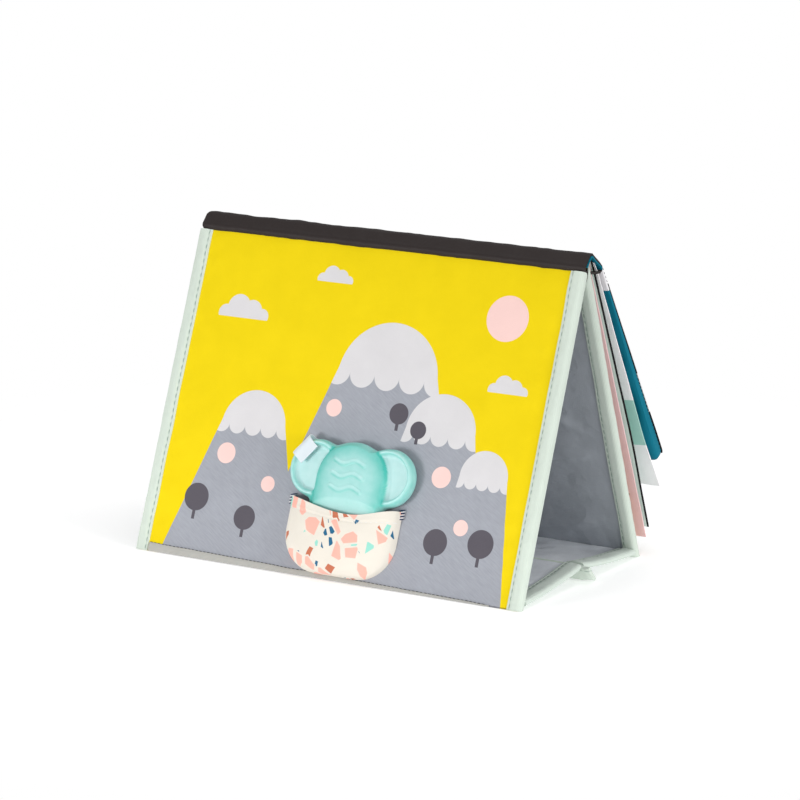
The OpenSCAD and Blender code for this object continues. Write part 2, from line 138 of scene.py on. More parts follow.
@dataclass(frozen=True)
class Line:
    """A smooth line in a flat section, cut into even steps.

    Attributes:
        points: The line's points, evenly spaced.
    """

    points: tuple[Point, ...]

    @staticmethod
    def even(points: Sequence[Point]) -> "Line":
        """Spaces points evenly along the line through the given ones.

        Args:
            points: Corners or close points of the line.

        Returns:
            The line with even steps.
        """
        lengths = [0.0]
        for a, b in zip(points, points[1:]):
            lengths.append(lengths[-1] + math.dist(a, b))
        result = []
        k = 0
        for i in range(LINE_STEPS + 1):
            target = lengths[-1] * i / LINE_STEPS
            while k < len(points) - 2 and lengths[k + 1] < target:
                k += 1
            span = lengths[k + 1] - lengths[k] or 1.0
            share = clamp((target - lengths[k]) / span)
            result.append(tuple(between(a, b, share)
                                for a, b in zip(points[k], points[k + 1])))
        return Line(tuple(result))

    @staticmethod
    def curved(points: Sequence[Point]) -> "Line":
        """Draws a round line through the given points.

        Args:
            points: The points that the line passes through.

        Returns:
            The line with even steps.
        """
        ends = [points[0], *points, points[-1]]
        fine = []
        steps = 24
        for p0, p1, p2, p3 in zip(ends, ends[1:], ends[2:], ends[3:]):
            for i in range(steps):
                t = i / steps
                fine.append(tuple(
                    0.5 * (2 * b + (c - a) * t + (2 * a - 5 * b + 4 * c - d) * t * t
                           + (3 * b - a - 3 * c + d) * t ** 3)
                    for a, b, c, d in zip(p0, p1, p2, p3)))
        fine.append(tuple(points[-1]))
        return Line.even(fine)

    @staticmethod
    def around(discs: Sequence[tuple[Point, float]], first: float, last: float) -> "Line":
        """Follows a cloth stretched round several discs.

        Args:
            discs: Each disc's centre and radius.
            first: Direction of the first point, in degrees.
            last: Direction of the last point, in degrees, which is smaller.

        Returns:
            The line from the first direction to the last.
        """
        found = []
        steps = 300
        for i in range(steps + 1):
            angle = math.radians(first + (last - first) * i / steps)
            way = (math.cos(angle), math.sin(angle))
            centre, radius = max(discs, key=lambda d: d[0][0] * way[0] + d[0][1] * way[1] + d[1])
            found.append((centre[0] + radius * way[0], centre[1] + radius * way[1]))
        return Line.even(found)

    @property
    def length(self) -> float:
        """The line's length."""
        return sum(math.dist(a, b) for a, b in zip(self.points, self.points[1:]))

    def at(self, share: float) -> tuple[Point, Point]:
        """Finds a place on the line.

        Args:
            share: 0 at the start and 1 at the end.

        Returns:
            The point there, and the direction to the left of the line.
        """
        last = len(self.points) - 1
        place = clamp(share) * last
        k = min(int(place), last - 1)
        before, after = self.points[max(k - 2, 0)], self.points[min(k + 3, last)]
        run = math.dist(before, after) or 1.0
        left = (-(after[1] - before[1]) / run, (after[0] - before[0]) / run)
        point = tuple(between(a, b, place - k) for a, b in zip(self.points[k], self.points[k + 1]))
        return point, left


@dataclass(frozen=True)
class Tent:
    """The folded tent, which gives places on its panels in the shared frame.

    Attributes:
        width: Width of the book.
        cover: Length of a cover from the ground to the ridge.
        depth: Distance between the covers' outer faces at the ground.
        face_top: Height of the front cloth's upper edge, up the slope.
        hinge: Height of the line that the front cover folds on.
        middle: y of the tent's middle in the shared frame.
    """

    width: float = 250.0
    cover: float = 196.5
    depth: float = 141.0
    face_top: float = 188.7
    hinge: float = 182.75
    middle: float = (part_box("front_cover_face")[0][1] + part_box("rear_panel_face")[1][1]) / 2 / MM

    @property
    def half_w(self) -> float:
        """Half the book's width."""
        return self.width / 2

    @property
    def lean(self) -> float:
        """Lean of a cover from upright, in radians."""
        return math.asin(self.depth / 2 / self.cover)

    @property
    def ridge(self) -> float:
        """Height of the ridge."""
        return self.cover * math.cos(self.lean)

    def section(self, u: float, y: float, z: float) -> Vector:
        """Places a point of the tent's section, which is never below the ground."""
        return Vector((u * MM, (y + self.middle) * MM, max(z, GROUND_GAP) * MM))

    def slope(self, side: int, v: float, w: float) -> Point:
        """Finds a place on a cover as y and z: side is -1 in front and 1 behind."""
        c, s = math.cos(self.lean), math.sin(self.lean)
        return side * (self.depth / 2 - v * s + w * c), v * c + w * s

    def front(self, u: float, v: float, w: float) -> Vector:
        """Places a point on the front cover."""
        return self.section(u, *self.slope(-1, v, w))

    def rear(self, u: float, v: float, w: float) -> Vector:
        """Places a point on the rear cover."""
        return self.section(u, *self.slope(1, v, w))


class Wires:
    """Adds nodes to one node tree and joins them."""

    def __init__(self, tree: bpy.types.NodeTree) -> None:
        """Works on the given tree."""
        self.tree = tree

    def add(self, kind: str, **settings: object) -> bpy.types.Node:
        """Adds a node and gives it its settings."""
        node = self.tree.nodes.new(kind)
        for name, value in settings.items():
            setattr(node, name, value)
        return node

    def join(self, value: object, socket: Socket) -> None:
        """Links a socket to another one, or gives it a plain value."""
        if isinstance(value, Socket):
            self.tree.links.new(value, socket)
        else:
            socket.default_value = value

    def math(self, operation: str, *values: object) -> Socket:
        """Adds one sum.

        Args:
            operation: Name of the sum, such as ADD.
            values: Sockets or numbers that go in.

        Returns:
            The socket with the result.
        """
        node = self.add("ShaderNodeMath", operation=operation)
        for value, socket in zip(values, node.inputs):
            self.join(value, socket)
        return node.outputs[0]

    def mask(self, depth: object) -> Socket:
        """Turns a depth inside an outline, in metres, into a mask with a crisp edge."""
        made = self.math("MULTIPLY_ADD", depth, PRINT_SHARPNESS, 0.5)
        made.node.use_clamp = True
        return made

    def mix(self, factor: object, first: object, second: object, blend: str = "MIX") -> Socket:
        """Mixes two colours.

        Args:
            factor: How much of the second colour shows.
            first: The first colour.
            second: The second colour.
            blend: How they mix.

        Returns:
            The socket with the mixed colour.
        """
        node = self.add("ShaderNodeMix", data_type="RGBA", blend_type=blend)
        for value, socket in zip((factor, first, second),
                                 (node.inputs[0], node.inputs[6], node.inputs[7])):
            self.join(value, socket)
        return node.outputs[2]

    def noise(self, place: object, scale: float, detail: float = 2.0) -> Socket:
        """Adds soft noise and returns its value."""
        node = self.add("ShaderNodeTexNoise")
        self.join(place, node.inputs["Vector"])
        node.inputs["Scale"].default_value = scale
        node.inputs["Detail"].default_value = detail
        return node.outputs[0]

    def effect(self, group: bpy.types.NodeTree, **values: object) -> bpy.types.Node:
        """Places a shared effect and feeds its inputs by name."""
        node = self.add("ShaderNodeGroup", node_tree=group)
        for name, value in values.items():
            self.join(value, node.inputs[name.replace("_", " ")])
        return node

    def printed(self, base: object, ink: Colour, group: bpy.types.NodeTree,
                **values: object) -> Socket:
        """Prints a shared effect's mask over a base, in one colour of ink."""
        return self.mix(self.effect(group, **values).outputs[0], base, linear(ink))

    def flat(self, place: object, *origin: object) -> Sequence[Socket]:
        """Splits a flat place into its two parts, measured from an origin if one is given."""
        node = self.add("ShaderNodeSeparateXYZ")
        self.join(place, node.inputs[0])
        parts = node.outputs[:2]
        return [self.math("SUBTRACT", part, zero) for part, zero in zip(parts, origin)] or parts

    def depth_in_disc(self, x: object, y: object, radius: object) -> Socket:
        """How deep a place lies inside a disc about 0, 0."""
        squares = self.math("ADD", self.math("MULTIPLY", x, x), self.math("MULTIPLY", y, y))
        return self.math("SUBTRACT", radius, self.math("SQRT", squares))

    def bumps(self, height: object, distance: float, normal: Socket) -> None:
        """Feeds a relief to a shader's normal."""
        node = self.add("ShaderNodeBump")
        node.inputs["Strength"].default_value = 1.0
        node.inputs["Distance"].default_value = distance
        self.join(height, node.inputs["Height"])
        self.join(node.outputs[0], normal)


def shared(inputs: Sequence[str], outputs: Sequence[str] = ("Mask",)) -> Callable:
    """Makes a shared effect of the function that draws it.

    Args:
        inputs: Names of the values that go in, in the function's order. Place is a vector.
        outputs: Names of the masks or heights that come out.

    Returns:
        The decorator, which leaves a method that gives the effect's node group.
    """
    def wrap(draw: Callable[..., object]) -> staticmethod:
        """Takes the function that draws the effect."""
        def group() -> bpy.types.NodeTree:
            """Finds the effect's group, or builds it the first time."""
            found = bpy.data.node_groups.get(draw.__name__)
            if found:
                return found
            tree = bpy.data.node_groups.new(draw.__name__, "ShaderNodeTree")
            for label in inputs:
                kind = "NodeSocketVector" if label == "Place" else "NodeSocketFloat"
                tree.interface.new_socket(name=label, in_out="INPUT", socket_type=kind)
            for label in outputs:
                tree.interface.new_socket(name=label, in_out="OUTPUT",
                                          socket_type="NodeSocketFloat")
            wires = Wires(tree)
            into, out = wires.add("NodeGroupInput"), wires.add("NodeGroupOutput")
            drawn = draw(wires, *into.outputs[:len(inputs)])
            for value, socket in zip(drawn if isinstance(drawn, tuple) else (drawn,), out.inputs):
                wires.join(value, socket)
            return tree

        return staticmethod(group)

    return wrap


class Effects:
    """The shared effects, each one a node group that is built once."""

    PUFFS = ((-11, 0, 5), (-3, 4, 7.5), (6, 2.5, 6.5), (13, 0, 4.5))
    TRUNK = 1.0

    @shared(("Place", "Threads"), ("Height",))
    def weave(w: Wires, place: Socket, threads: Socket) -> Socket:
        """Plain weave: threads that pass over and under each other."""
        turn = w.math("MULTIPLY", threads, math.pi)
        across, along = (w.math("SINE", w.math("MULTIPLY", part, turn)) for part in w.flat(place))
        return w.math("MULTIPLY", w.math("MULTIPLY", across, across),
                      w.math("MULTIPLY", along, along))

    @shared(("Place", "Depth"), ("Height",))
    def creases(w: Wires, place: Socket, depth: Socket) -> Socket:
        """Soft creases of handled cloth, in metres: broad folds and a finer grain."""
        broad, fine = w.noise(place, 26.0, 3.0), w.noise(place, 90.0, 3.0)
        fold = w.math("ABSOLUTE", w.math("SUBTRACT", broad, 0.5))
        total = w.math("ADD", w.math("MULTIPLY", fold, -1.6), w.math("MULTIPLY", fine, 0.35))
        return w.math("MULTIPLY", total, depth)

    @shared(("Place", "X", "Y", "Radius"))
    def disc(w: Wires, place: Socket, x: Socket, y: Socket, radius: Socket) -> Socket:
        """A printed disc."""
        return w.mask(w.depth_in_disc(*w.flat(place, x, y), radius))

    @shared(("Place", "Middle", "Centre", "Radius", "Half foot", "Shoulder U", "Shoulder V",
             "Cap line"), ("Body", "Cap"))
    def hill(w: Wires, place: Socket, middle: Socket, centre: Socket, radius: Socket,
             half_foot: Socket, shoulder_u: Socket, shoulder_v: Socket,
             cap_line: Socket) -> tuple[Socket, Socket]:
        """A printed round hill, and its pale cap with a scalloped lower edge."""
        x, y = w.flat(place)
        across = w.math("SUBTRACT", x, middle)
        round_top = w.depth_in_disc(across, w.math("SUBTRACT", y, centre), radius)
        rise = w.math("DIVIDE", y, shoulder_v)
        edge = w.math("ADD", half_foot, w.math(
            "MULTIPLY", rise, w.math("SUBTRACT", shoulder_u, half_foot)))
        slope = w.math("MINIMUM", w.math("SUBTRACT", edge, w.math("ABSOLUTE", across)),
                       w.math("SUBTRACT", shoulder_v, y))
        body = w.mask(w.math("MAXIMUM", round_top, slope))
        scallop = w.math("MULTIPLY", radius, 0.25)
        wave = w.math("WRAP", across, scallop, w.math("MULTIPLY", scallop, -1.0))
        above = w.math("SUBTRACT", y, cap_line)
        cap = w.mask(w.math("MAXIMUM", above, w.depth_in_disc(wave, above, scallop)))
        return body, w.math("MULTIPLY", body, cap)

    @shared(("Place", "X", "Y", "Size"))
    def cloud(w: Wires, place: Socket, x: Socket, y: Socket, size: Socket) -> Socket:
        """A printed cloud of round puffs with a flat foot."""
        across, up = (w.math("DIVIDE", part, size) for part in w.flat(place, x, y))
        deep: object = -1.0
        for puff_x, puff_y, radius in Effects.PUFFS:
            deep = w.math("MAXIMUM", deep, w.depth_in_disc(
                w.math("SUBTRACT", across, puff_x * MM), w.math("SUBTRACT", up, puff_y * MM),
                radius * MM))
        return w.mask(w.math("MINIMUM", deep, w.math("ADD", up, 2 * MM)))

    @shared(("Place", "X", "Y", "Radius"))
    def tree_print(w: Wires, place: Socket, x: Socket, y: Socket, radius: Socket) -> Socket:
        """A printed tree: a round top on a short trunk."""
        across, up = w.flat(place, x, y)
        top = w.depth_in_disc(
            across, w.math("SUBTRACT", up, w.math("MULTIPLY", radius, 1.6)), radius)
        trunk = w.math("MINIMUM",
                       w.math("SUBTRACT", Effects.TRUNK * MM, w.math("ABSOLUTE", across)),
                       w.math("MINIMUM", up, w.math("SUBTRACT", radius, up)))
        return w.mask(w.math("MAXIMUM", top, trunk))

    @shared(("Place", "Low", "High"))
    def stripe(w: Wires, place: Socket, low: Socket, high: Socket) -> Socket:
        """A printed stripe between two heights."""
        y = w.flat(place)[1]
        return w.mask(w.math("MINIMUM", w.math("SUBTRACT", y, low),
                             w.math("SUBTRACT", high, y)))

    @shared(("Place", "Pitch X", "Pitch Y", "Shift Y", "Radius"))
    def dot_rows(w: Wires, place: Socket, pitch_x: Socket, pitch_y: Socket, shift_y: Socket,
                 radius: Socket) -> Socket:
        """Rows of printed dots, one every pitch both ways."""
        x, y = w.flat(place)
        half_x, half_y = (w.math("MULTIPLY", pitch, 0.5) for pitch in (pitch_x, pitch_y))
        near = [w.math("WRAP", part, half, w.math("MULTIPLY", half, -1.0)) for part, half in (
            (w.math("ADD", x, half_x), half_x), (w.math("SUBTRACT", y, shift_y), half_y))]
        return w.mask(w.depth_in_disc(*near, radius))

    @shared(("Place", "Scale", "First", "Last", "Margin"))
    def chips(w: Wires, place: Socket, scale: Socket, first: Socket, last: Socket,
              margin: Socket) -> Socket:
        """Scattered angular chips, as in terrazzo: some of the cells of a cracked plane."""
        cell, edge = (w.add("ShaderNodeTexVoronoi", voronoi_dimensions="2D", feature=feature)
                      for feature in ("F1", "DISTANCE_TO_EDGE"))
        for node in (cell, edge):
            w.join(place, node.inputs["Vector"])
            w.join(scale, node.inputs["Scale"])
        split = w.add("ShaderNodeSeparateColor")
        w.join(cell.outputs["Color"], split.inputs[0])
        chosen = w.math("MULTIPLY", w.math("LESS_THAN", split.outputs[0], last),
                        w.math("GREATER_THAN", split.outputs[0], first))
        inset = w.math("ADD", margin, w.math("MULTIPLY", split.outputs[1], 0.12))
        deep = w.math("DIVIDE", w.math("SUBTRACT", edge.outputs["Distance"], inset), scale)
        return w.math("MULTIPLY", chosen, w.mask(deep))


def start_material(name: str, colour: Colour) -> tuple[bpy.types.Material, Wires, bpy.types.Node]:
    """Starts a material and gives it, its wires and its shader."""
    made = bpy.data.materials.new(name)
    made.use_nodes = True
    made.diffuse_color = linear(colour)
    return made, Wires(made.node_tree), made.node_tree.nodes["Principled BSDF"]


def settle(shader: bpy.types.Node, values: dict[str, object]) -> None:
    """Sets what is the same all over a material on the shader's own sockets."""
    for name, value in values.items():
        shader.inputs[name].default_value = value


@dataclass(frozen=True)
class Cloth:
    """A woven cloth.

    Attributes:
        name: Name of the material.
        colour: Its display colour.
        roughness: How dull it is.
        sheen: How much soft light its edges catch.
        threads: Threads in a metre.
        relief: Height of the weave, in metres.
        mottle_and_shade: How much its colour varies at random in broad patches; on the lining and
            the floor it is set high so that the dark patches paint the shade of their wrinkles.
        crease: Depth of the fine creases, in metres.
    """

    name: str
    colour: Colour
    roughness: float = 0.72
    sheen: float = 0.15
    threads: float = 2200.0
    relief: float = 0.00006
    mottle_and_shade: float = 0.05
    crease: float = 0.0003

    def paint(self, wires: Wires, place: Socket) -> object:
        """Gives the printed colour at a place on the cloth."""
        return linear(self.colour)

    def shade(self, shader: bpy.types.Node) -> None:
        """Sets what is the same all over the cloth."""
        settle(shader, {"Sheen Weight": self.sheen, "Sheen Roughness": 0.45,
                        "Specular IOR Level": 0.15})

    def material(self) -> bpy.types.Material:
        """Builds the material, or finds it if it is there.

        Returns:
            The material.
        """
        if self.name in FINISHED:
            return FINISHED[self.name]
        made, wires, shader = start_material(self.name, self.colour)
        FINISHED[self.name] = made
        place = wires.add("ShaderNodeUVMap", uv_map=UV_NAME).outputs[0]
        solid = wires.add("ShaderNodeTexCoord").outputs["Object"]
        colour = self.paint(wires, place)
        # Broad random patches, darker and lighter; on the lining and the floor they serve as painted
        # shade of wrinkles.
        cloudy = wires.noise(solid, 55.0, 4.0)
        darker = wires.math("MULTIPLY_ADD", cloudy, -2 * self.mottle_and_shade, 1.0 + self.mottle_and_shade)
        weave = wires.effect(Effects.weave(), Place=place, Threads=self.threads).outputs[0]
        threads = wires.math("MULTIPLY_ADD", weave, 0.10, 0.95)
        tone = wires.math("MULTIPLY", darker, threads)
        grey = wires.add("ShaderNodeCombineColor")
        for socket in grey.inputs:
            wires.join(tone, socket)
        wires.join(wires.mix(1.0, colour, grey.outputs[0], "MULTIPLY"),
                   shader.inputs["Base Color"])
        wires.join(wires.math("MULTIPLY_ADD", cloudy, 0.16, self.roughness - 0.08),
                   shader.inputs["Roughness"])
        creases = wires.effect(Effects.creases(), Place=solid, Depth=self.crease).outputs[0]
        wires.bumps(wires.math("MULTIPLY_ADD", weave, self.relief, creases), 1.0,
                    shader.inputs["Normal"])
        self.shade(shader)
        return made


@dataclass(frozen=True)
class Satin(Cloth):
    """A smooth satin, which is glossier and has finer threads.

    Attributes:
        gloss: Strength of its mirror-like light.
    """

    gloss: float = 0.5
    roughness: float = 0.42
    sheen: float = 0.08
    threads: float = 3000.0
    relief: float = 0.00003

    def shade(self, shader: bpy.types.Node) -> None:
        """Adds a satin's shine."""
        super().shade(shader)
        settle(shader, {"Specular IOR Level": self.gloss, "Anisotropic": 0.4})


@dataclass(frozen=True)
class Thread(Cloth):
    """Sewing thread, which is finer than cloth and has no creases."""

    threads: float = 6000.0
    crease: float = 0.0


@dataclass(frozen=True)
class TapeCloth(Cloth):
    """The binding tape's cloth, with painted shade along its rows of stitches.

    Attributes:
        seams: Distances of both rows of stitches round the tape.
        pitch: Distance between two stitches.
        groove_shade: Colour of the painted shade along the stitches.
        reach: How far from a row of stitches the painted shade reaches.
    """

    seams: tuple[float, float] = (SEAM, 21.68)
    pitch: float = TAPE_PITCH
    groove_shade: Colour = (124, 146, 134)
    reach: float = 0.8

    def paint(self, wires: Wires, place: Socket) -> object:
        """Paints shade along both rows of stitches, darkest at the needle's holes."""
        x, y = wires.flat(place)
        near = wires.math("MINIMUM", *(
            wires.math("ABSOLUTE", wires.math("SUBTRACT", y, seam * MM)) for seam in self.seams))
        line = wires.math("SUBTRACT", 1.0, wires.math("DIVIDE", near, self.reach * MM))
        wave = wires.math("COSINE", wires.math("MULTIPLY", x, math.tau / (self.pitch * MM)))
        hole = wires.math("MULTIPLY_ADD", wave, -0.45, 0.55)
        depth = wires.math("MULTIPLY", wires.math("MAXIMUM", line, 0.0), hole)
        # Painted shade of the stitched grooves and the needle's holes.
        return wires.mix(wires.math("MULTIPLY", depth, 0.8), linear(self.colour),
                         linear(self.groove_shade))


@dataclass(frozen=True)
class QuiltCloth(Cloth):
    """The back cover's plain cloth, with a white sewn edge at the top.

    Attributes:
        white: Colour of the sewn edge.
        edge: Height of the sewn edge.
    """

    white: Colour = (240, 238, 240)
    edge: float = 19.0

    def paint(self, wires: Wires, place: Socket) -> object:
        """Paints the sewn edge over the plain colour."""
        return wires.printed(linear(self.colour), self.white, Effects.stripe(), Place=place,
                             Low=-5 * MM, High=self.edge * MM)


@dataclass(frozen=True)
class MeadowPrint(Cloth):
    """The front cover's printed cloth: round hills, clouds, a sun and little trees.

    Attributes:
        hills: Each hill's middle, height, top radius and foot width.
        clouds: Each cloud's middle, height and size.
        rounds: The sun and the dots, as middle, height and radius.
        trees: Each tree's middle, foot and radius.
        grey, light, pink, dark: Colours of the hills, the caps and clouds, the rounds and trees.
        foot_shade: Colour of the painted shade along the lowest edge, where the cloth meets the
            floor.
        cap_share: How far up a hill its cap starts.
        strokes: Length and width of a drawn stroke on the hills.
        slant: Direction of the strokes, in degrees.
    """

    grey: Colour = (170, 173, 182)
    light: Colour = (214, 212, 214)
    pink: Colour = (243, 207, 201)
    dark: Colour = (90, 86, 94)
    foot_shade: Colour = (40, 36, 34)
    cap_share: float = 0.72
    strokes: tuple[float, float] = (1 / 150, 1 / 1300)
    slant: float = -32.0
    hills: tuple[tuple[float, float, float, float], ...] = (
        (-64, 100, 21, 92), (88, 84, 15, 50), (16, 148, 32, 138), (56, 112, 22, 86))
    clouds: tuple[tuple[float, float, float], ...] = (
        (-86, 142, 1.0), (-30, 168, 0.7), (92, 118, 0.75))
    rounds: tuple[tuple[float, float, float], ...] = (
        (84, 158, 13), (-78, 62, 6), (-47, 48, 4.5), (62, 66, 6), (80, 40, 4.5), (-14, 96, 5))
    trees: tuple[tuple[float, float, float], ...] = (
        (-92, 22, 8), (-58, 16, 7), (66, 18, 7.5), (94, 20, 8), (28, 88, 6), (42, 82, 5))

    def paint(self, wires: Wires, place: Socket) -> object:
        """Prints the meadow in layers, from the clouds to the trees, then paints a thin line of
        shade along the foot.
        """
        colour: object = linear(self.colour)
        for x, y, size in self.clouds:
            colour = wires.printed(colour, self.light, Effects.cloud(), Place=place, X=x * MM,
                                   Y=y * MM, Size=size)
        masks = []
        tucked = 0.985
        for middle, height, radius, foot in self.hills:
            centre, half = height - radius, foot / 2
            turn = math.atan2(-centre, half) + math.acos(radius / math.hypot(half, centre))
            masks.append(wires.effect(
                Effects.hill(), Place=place, Middle=middle * MM, Centre=centre * MM,
                Radius=radius * MM, Half_foot=half * MM,
                Shoulder_U=tucked * radius * math.cos(turn) * MM,
                Shoulder_V=(centre + tucked * radius * math.sin(turn)) * MM,
                Cap_line=(height * self.cap_share + radius / 3) * MM))
        drawn = wires.add("ShaderNodeMapping", vector_type="TEXTURE")
        wires.join(place, drawn.inputs["Vector"])
        drawn.inputs["Scale"].default_value = (*self.strokes, 1.0)
        drawn.inputs["Rotation"].default_value[2] = math.radians(self.slant)
        strokes = wires.noise(drawn.outputs[0], 1.0, 2.0)
        shade = tuple(round(0.86 * part) for part in self.grey)
        grey = wires.mix(strokes, linear(self.grey), linear(shade))
        for hill in masks:
            colour = wires.mix(hill.outputs["Body"], colour, grey)
        for hill in masks:
            colour = wires.mix(hill.outputs["Cap"], colour, linear(self.light))
        for group, ink, spots in ((Effects.disc(), self.pink, self.rounds),
                                  (Effects.tree_print(), self.dark, self.trees)):
            for x, y, radius in spots:
                colour = wires.printed(colour, ink, group, Place=place, X=x * MM, Y=y * MM,
                                       Radius=radius * MM)
        # Painted shade: a thin, uneven dark line along the cloth's lowest edge, where it meets the
        # floor.
        foot = wires.effect(Effects.stripe(), Place=place, Low=-5 * MM, High=0.8 * MM)
        foot_shade = wires.math("MULTIPLY", foot.outputs[0], wires.noise(place, 300.0, 2.0))
        return wires.mix(foot_shade, colour, linear(self.foot_shade))


@dataclass(frozen=True)
class TerrazzoPrint(Cloth):
    """The pocket's cloth, printed with terrazzo chips.

    Attributes:
        layers: For each colour of chip, the distance between chips, the share of cells it
            starts and ends at, and its margin. Later ones clear a place for themselves.
        clear: How much larger than a chip the place that it clears is.
    """

    layers: tuple[tuple[Colour, float, float, float, float], ...] = (
        ((40, 102, 138), 4.6, 0.0, 0.12, 0.16), ((150, 214, 200), 4.6, 0.15, 0.22, 0.1),
        ((192, 112, 84), 7.2, 0.0, 0.17, 0.15), ((246, 180, 165), 8.6, 0.3, 0.62, 0.12))
    clear: float = 0.1

    def paint(self, wires: Wires, place: Socket) -> object:
        """Scatters the chips, one in each chosen cell."""
        colour: object = linear(self.colour)
        for chip, cell, first, last, margin in self.layers:
            for ink, inset in ((self.colour, margin - self.clear), (chip, margin)):
                colour = wires.printed(colour, ink, Effects.chips(), Place=place,
                                       Scale=1 / (cell * MM), First=first, Last=last,
                                       Margin=inset)
        return colour


@dataclass(frozen=True)
class LeafPrint(Cloth):
    """A page's cloth: a plain field with a band, rows of dots and a dark sewn edge.

    Attributes:
        dots: Colour of the dots, or None.
        dot_pitch: Distance between dots across and along.
        dot_shift: How far down the first row of dots is.
        dot_r: Radius of a dot.
        band: Colour of the band, or None.
        band_at: Where the band starts and ends along the leaf.
        edge: Colour of the leaf's side edges, or None.
        edge_w: Width of those edges.
        width: Width of the leaf.
    """

    dots: Colour | None = None
    dot_pitch: tuple[float, float] = (24.0, 30.0)
    dot_shift: float = 12.0
    dot_r: float = 3.0
    band: Colour | None = None
    band_at: tuple[float, float] = (100.0, 140.0)
    edge: Colour | None = None
    edge_w: float = 1.2
    width: float = 250.0

    def paint(self, wires: Wires, place: Socket) -> object:
        """Prints the band, the dots and the edges."""
        colour: object = linear(self.colour)
        if self.band:
            colour = wires.printed(colour, self.band, Effects.stripe(), Place=place,
                                   Low=self.band_at[0] * MM, High=self.band_at[1] * MM)
        if self.dots:
            colour = wires.printed(
                colour, self.dots, Effects.dot_rows(), Place=place,
                Pitch_X=self.dot_pitch[0] * MM, Pitch_Y=self.dot_pitch[1] * MM,
                Shift_Y=self.dot_shift * MM, Radius=self.dot_r * MM)
        if self.edge:
            deep = wires.math("SUBTRACT", wires.math("ABSOLUTE", wires.flat(place)[0]),
                              (self.width / 2 - self.edge_w) * MM)
            colour = wires.mix(wires.mask(deep), colour, linear(self.edge))
        return colour


@dataclass(frozen=True)
class ContrastPrint(Cloth):
    """The back cover's outer cloth: a black field with a white stripe and a row of dots.

    Attributes:
        white: Colour of the stripe and dots.
        stripe: Where the stripe starts and ends down the leaf.
        dots_at: How far down the leaf the dots are.
        dot_r: Radius of a dot.
        pitch: Distance between two dots.
    """

    white: Colour = (232, 232, 232)
    stripe: tuple[float, float] = (83.1, 113.3)
    dots_at: float = 138.0
    dot_r: float = 3.4
    pitch: float = 15.625

    def paint(self, wires: Wires, place: Socket) -> object:
        """Prints the stripe and one row of dots."""
        stripe = wires.effect(Effects.stripe(), Place=place, Low=self.stripe[0] * MM,
                              High=self.stripe[1] * MM)
        rows = wires.effect(Effects.dot_rows(), Place=place, Pitch_X=self.pitch * MM,
                            Pitch_Y=4 * self.pitch * MM, Shift_Y=self.dots_at * MM,
                            Radius=self.dot_r * MM)
        one_row = wires.effect(Effects.stripe(), Place=place,
                               Low=(self.dots_at - self.pitch) * MM,
                               High=(self.dots_at + self.pitch) * MM)
        dots = wires.math("MULTIPLY", rows.outputs[0], one_row.outputs[0])
        marks = wires.math("MAXIMUM", stripe.outputs[0], dots)
        return wires.mix(marks, linear(self.colour), linear(self.white))


@dataclass(frozen=True)
class Silicone:
    """Soft matt silicone, with the light and shade of its relief painted into its colour.

    Attributes:
        name: Name of the material.
        colour: Its display colour, shown where the painted shade is deepest.
        pale: The colour painted where its relief is meant to look lit.
        relief: Height of its dull grain, in metres.
    """

    name: str
    colour: Colour
    pale: Colour
    relief: float = 0.00004

    def material(self) -> bpy.types.Material:
        """Builds the material.

        Returns:
            The material.
        """
        made, wires, shader = start_material(self.name, self.colour)
        solid = wires.add("ShaderNodeTexCoord").outputs["Object"]
        # Painted light and shade: a share stored on the mesh mixes the colour towards the lit
        # colour, with a random dusty tone on top.
        raised = wires.add("ShaderNodeAttribute", attribute_name="raised").outputs["Fac"]
        dusty = wires.noise(solid, 240.0, 4.0)
        factor = wires.math("MULTIPLY_ADD", wires.math("SUBTRACT", dusty, 0.5), 0.25, raised)
        wires.join(wires.mix(factor, linear(self.colour), linear(self.pale)),
                   shader.inputs["Base Color"])
        wires.join(wires.math("MULTIPLY_ADD", dusty, 0.18, 0.34), shader.inputs["Roughness"])
        wires.bumps(wires.noise(solid, 1500.0, 2.0), self.relief, shader.inputs["Normal"])
        settle(shader, {"Specular IOR Level": 0.45, "Subsurface Weight": 0.25,
                        "Subsurface Radius": (0.004, 0.005, 0.005), "Subsurface Scale": 0.6})
        return made


@dataclass(frozen=True)
class Board:
    """Grey board with short fibres, for what stays inside the covers.

    Attributes:
        name: Name of the material.
        colour: Its display colour.
        relief: Height of the fibres, in metres.
    """

    name: str
    colour: Colour
    relief: float = 0.0001

    def material(self) -> bpy.types.Material:
        """Builds the material.

        Returns:
            The material.
        """
        made, wires, shader = start_material(self.name, self.colour)
        solid = wires.add("ShaderNodeTexCoord").outputs["Object"]
        fibres = wires.noise(solid, 700.0, 5.0)
        darker = tuple(0.7 * part for part in linear(self.colour)[:3]) + (1.0,)
        wires.join(wires.mix(fibres, linear(self.colour), darker), shader.inputs["Base Color"])
        wires.join(wires.math("MULTIPLY_ADD", fibres, 0.2, 0.75), shader.inputs["Roughness"])
        wires.bumps(fibres, self.relief, shader.inputs["Normal"])
        return made


YELLOW = MeadowPrint("front_print_cloth", (234, 207, 2), roughness=0.7, sheen=0.0, mottle_and_shade=0.06,
                     crease=0.0006)
PLAIN_YELLOW = Cloth("rear_yellow_cloth", (234, 207, 2), roughness=0.7, sheen=0.0)
TAPE = TapeCloth("binding_tape_cloth", (208, 219, 208), roughness=0.85, sheen=0.2,
                 threads=1500.0, relief=0.00012, crease=0.0009)
FLOOR_TAPE = replace(TAPE, name="floor_tape_cloth", colour=(208, 219, 210), seams=(SEAM, 19.99))
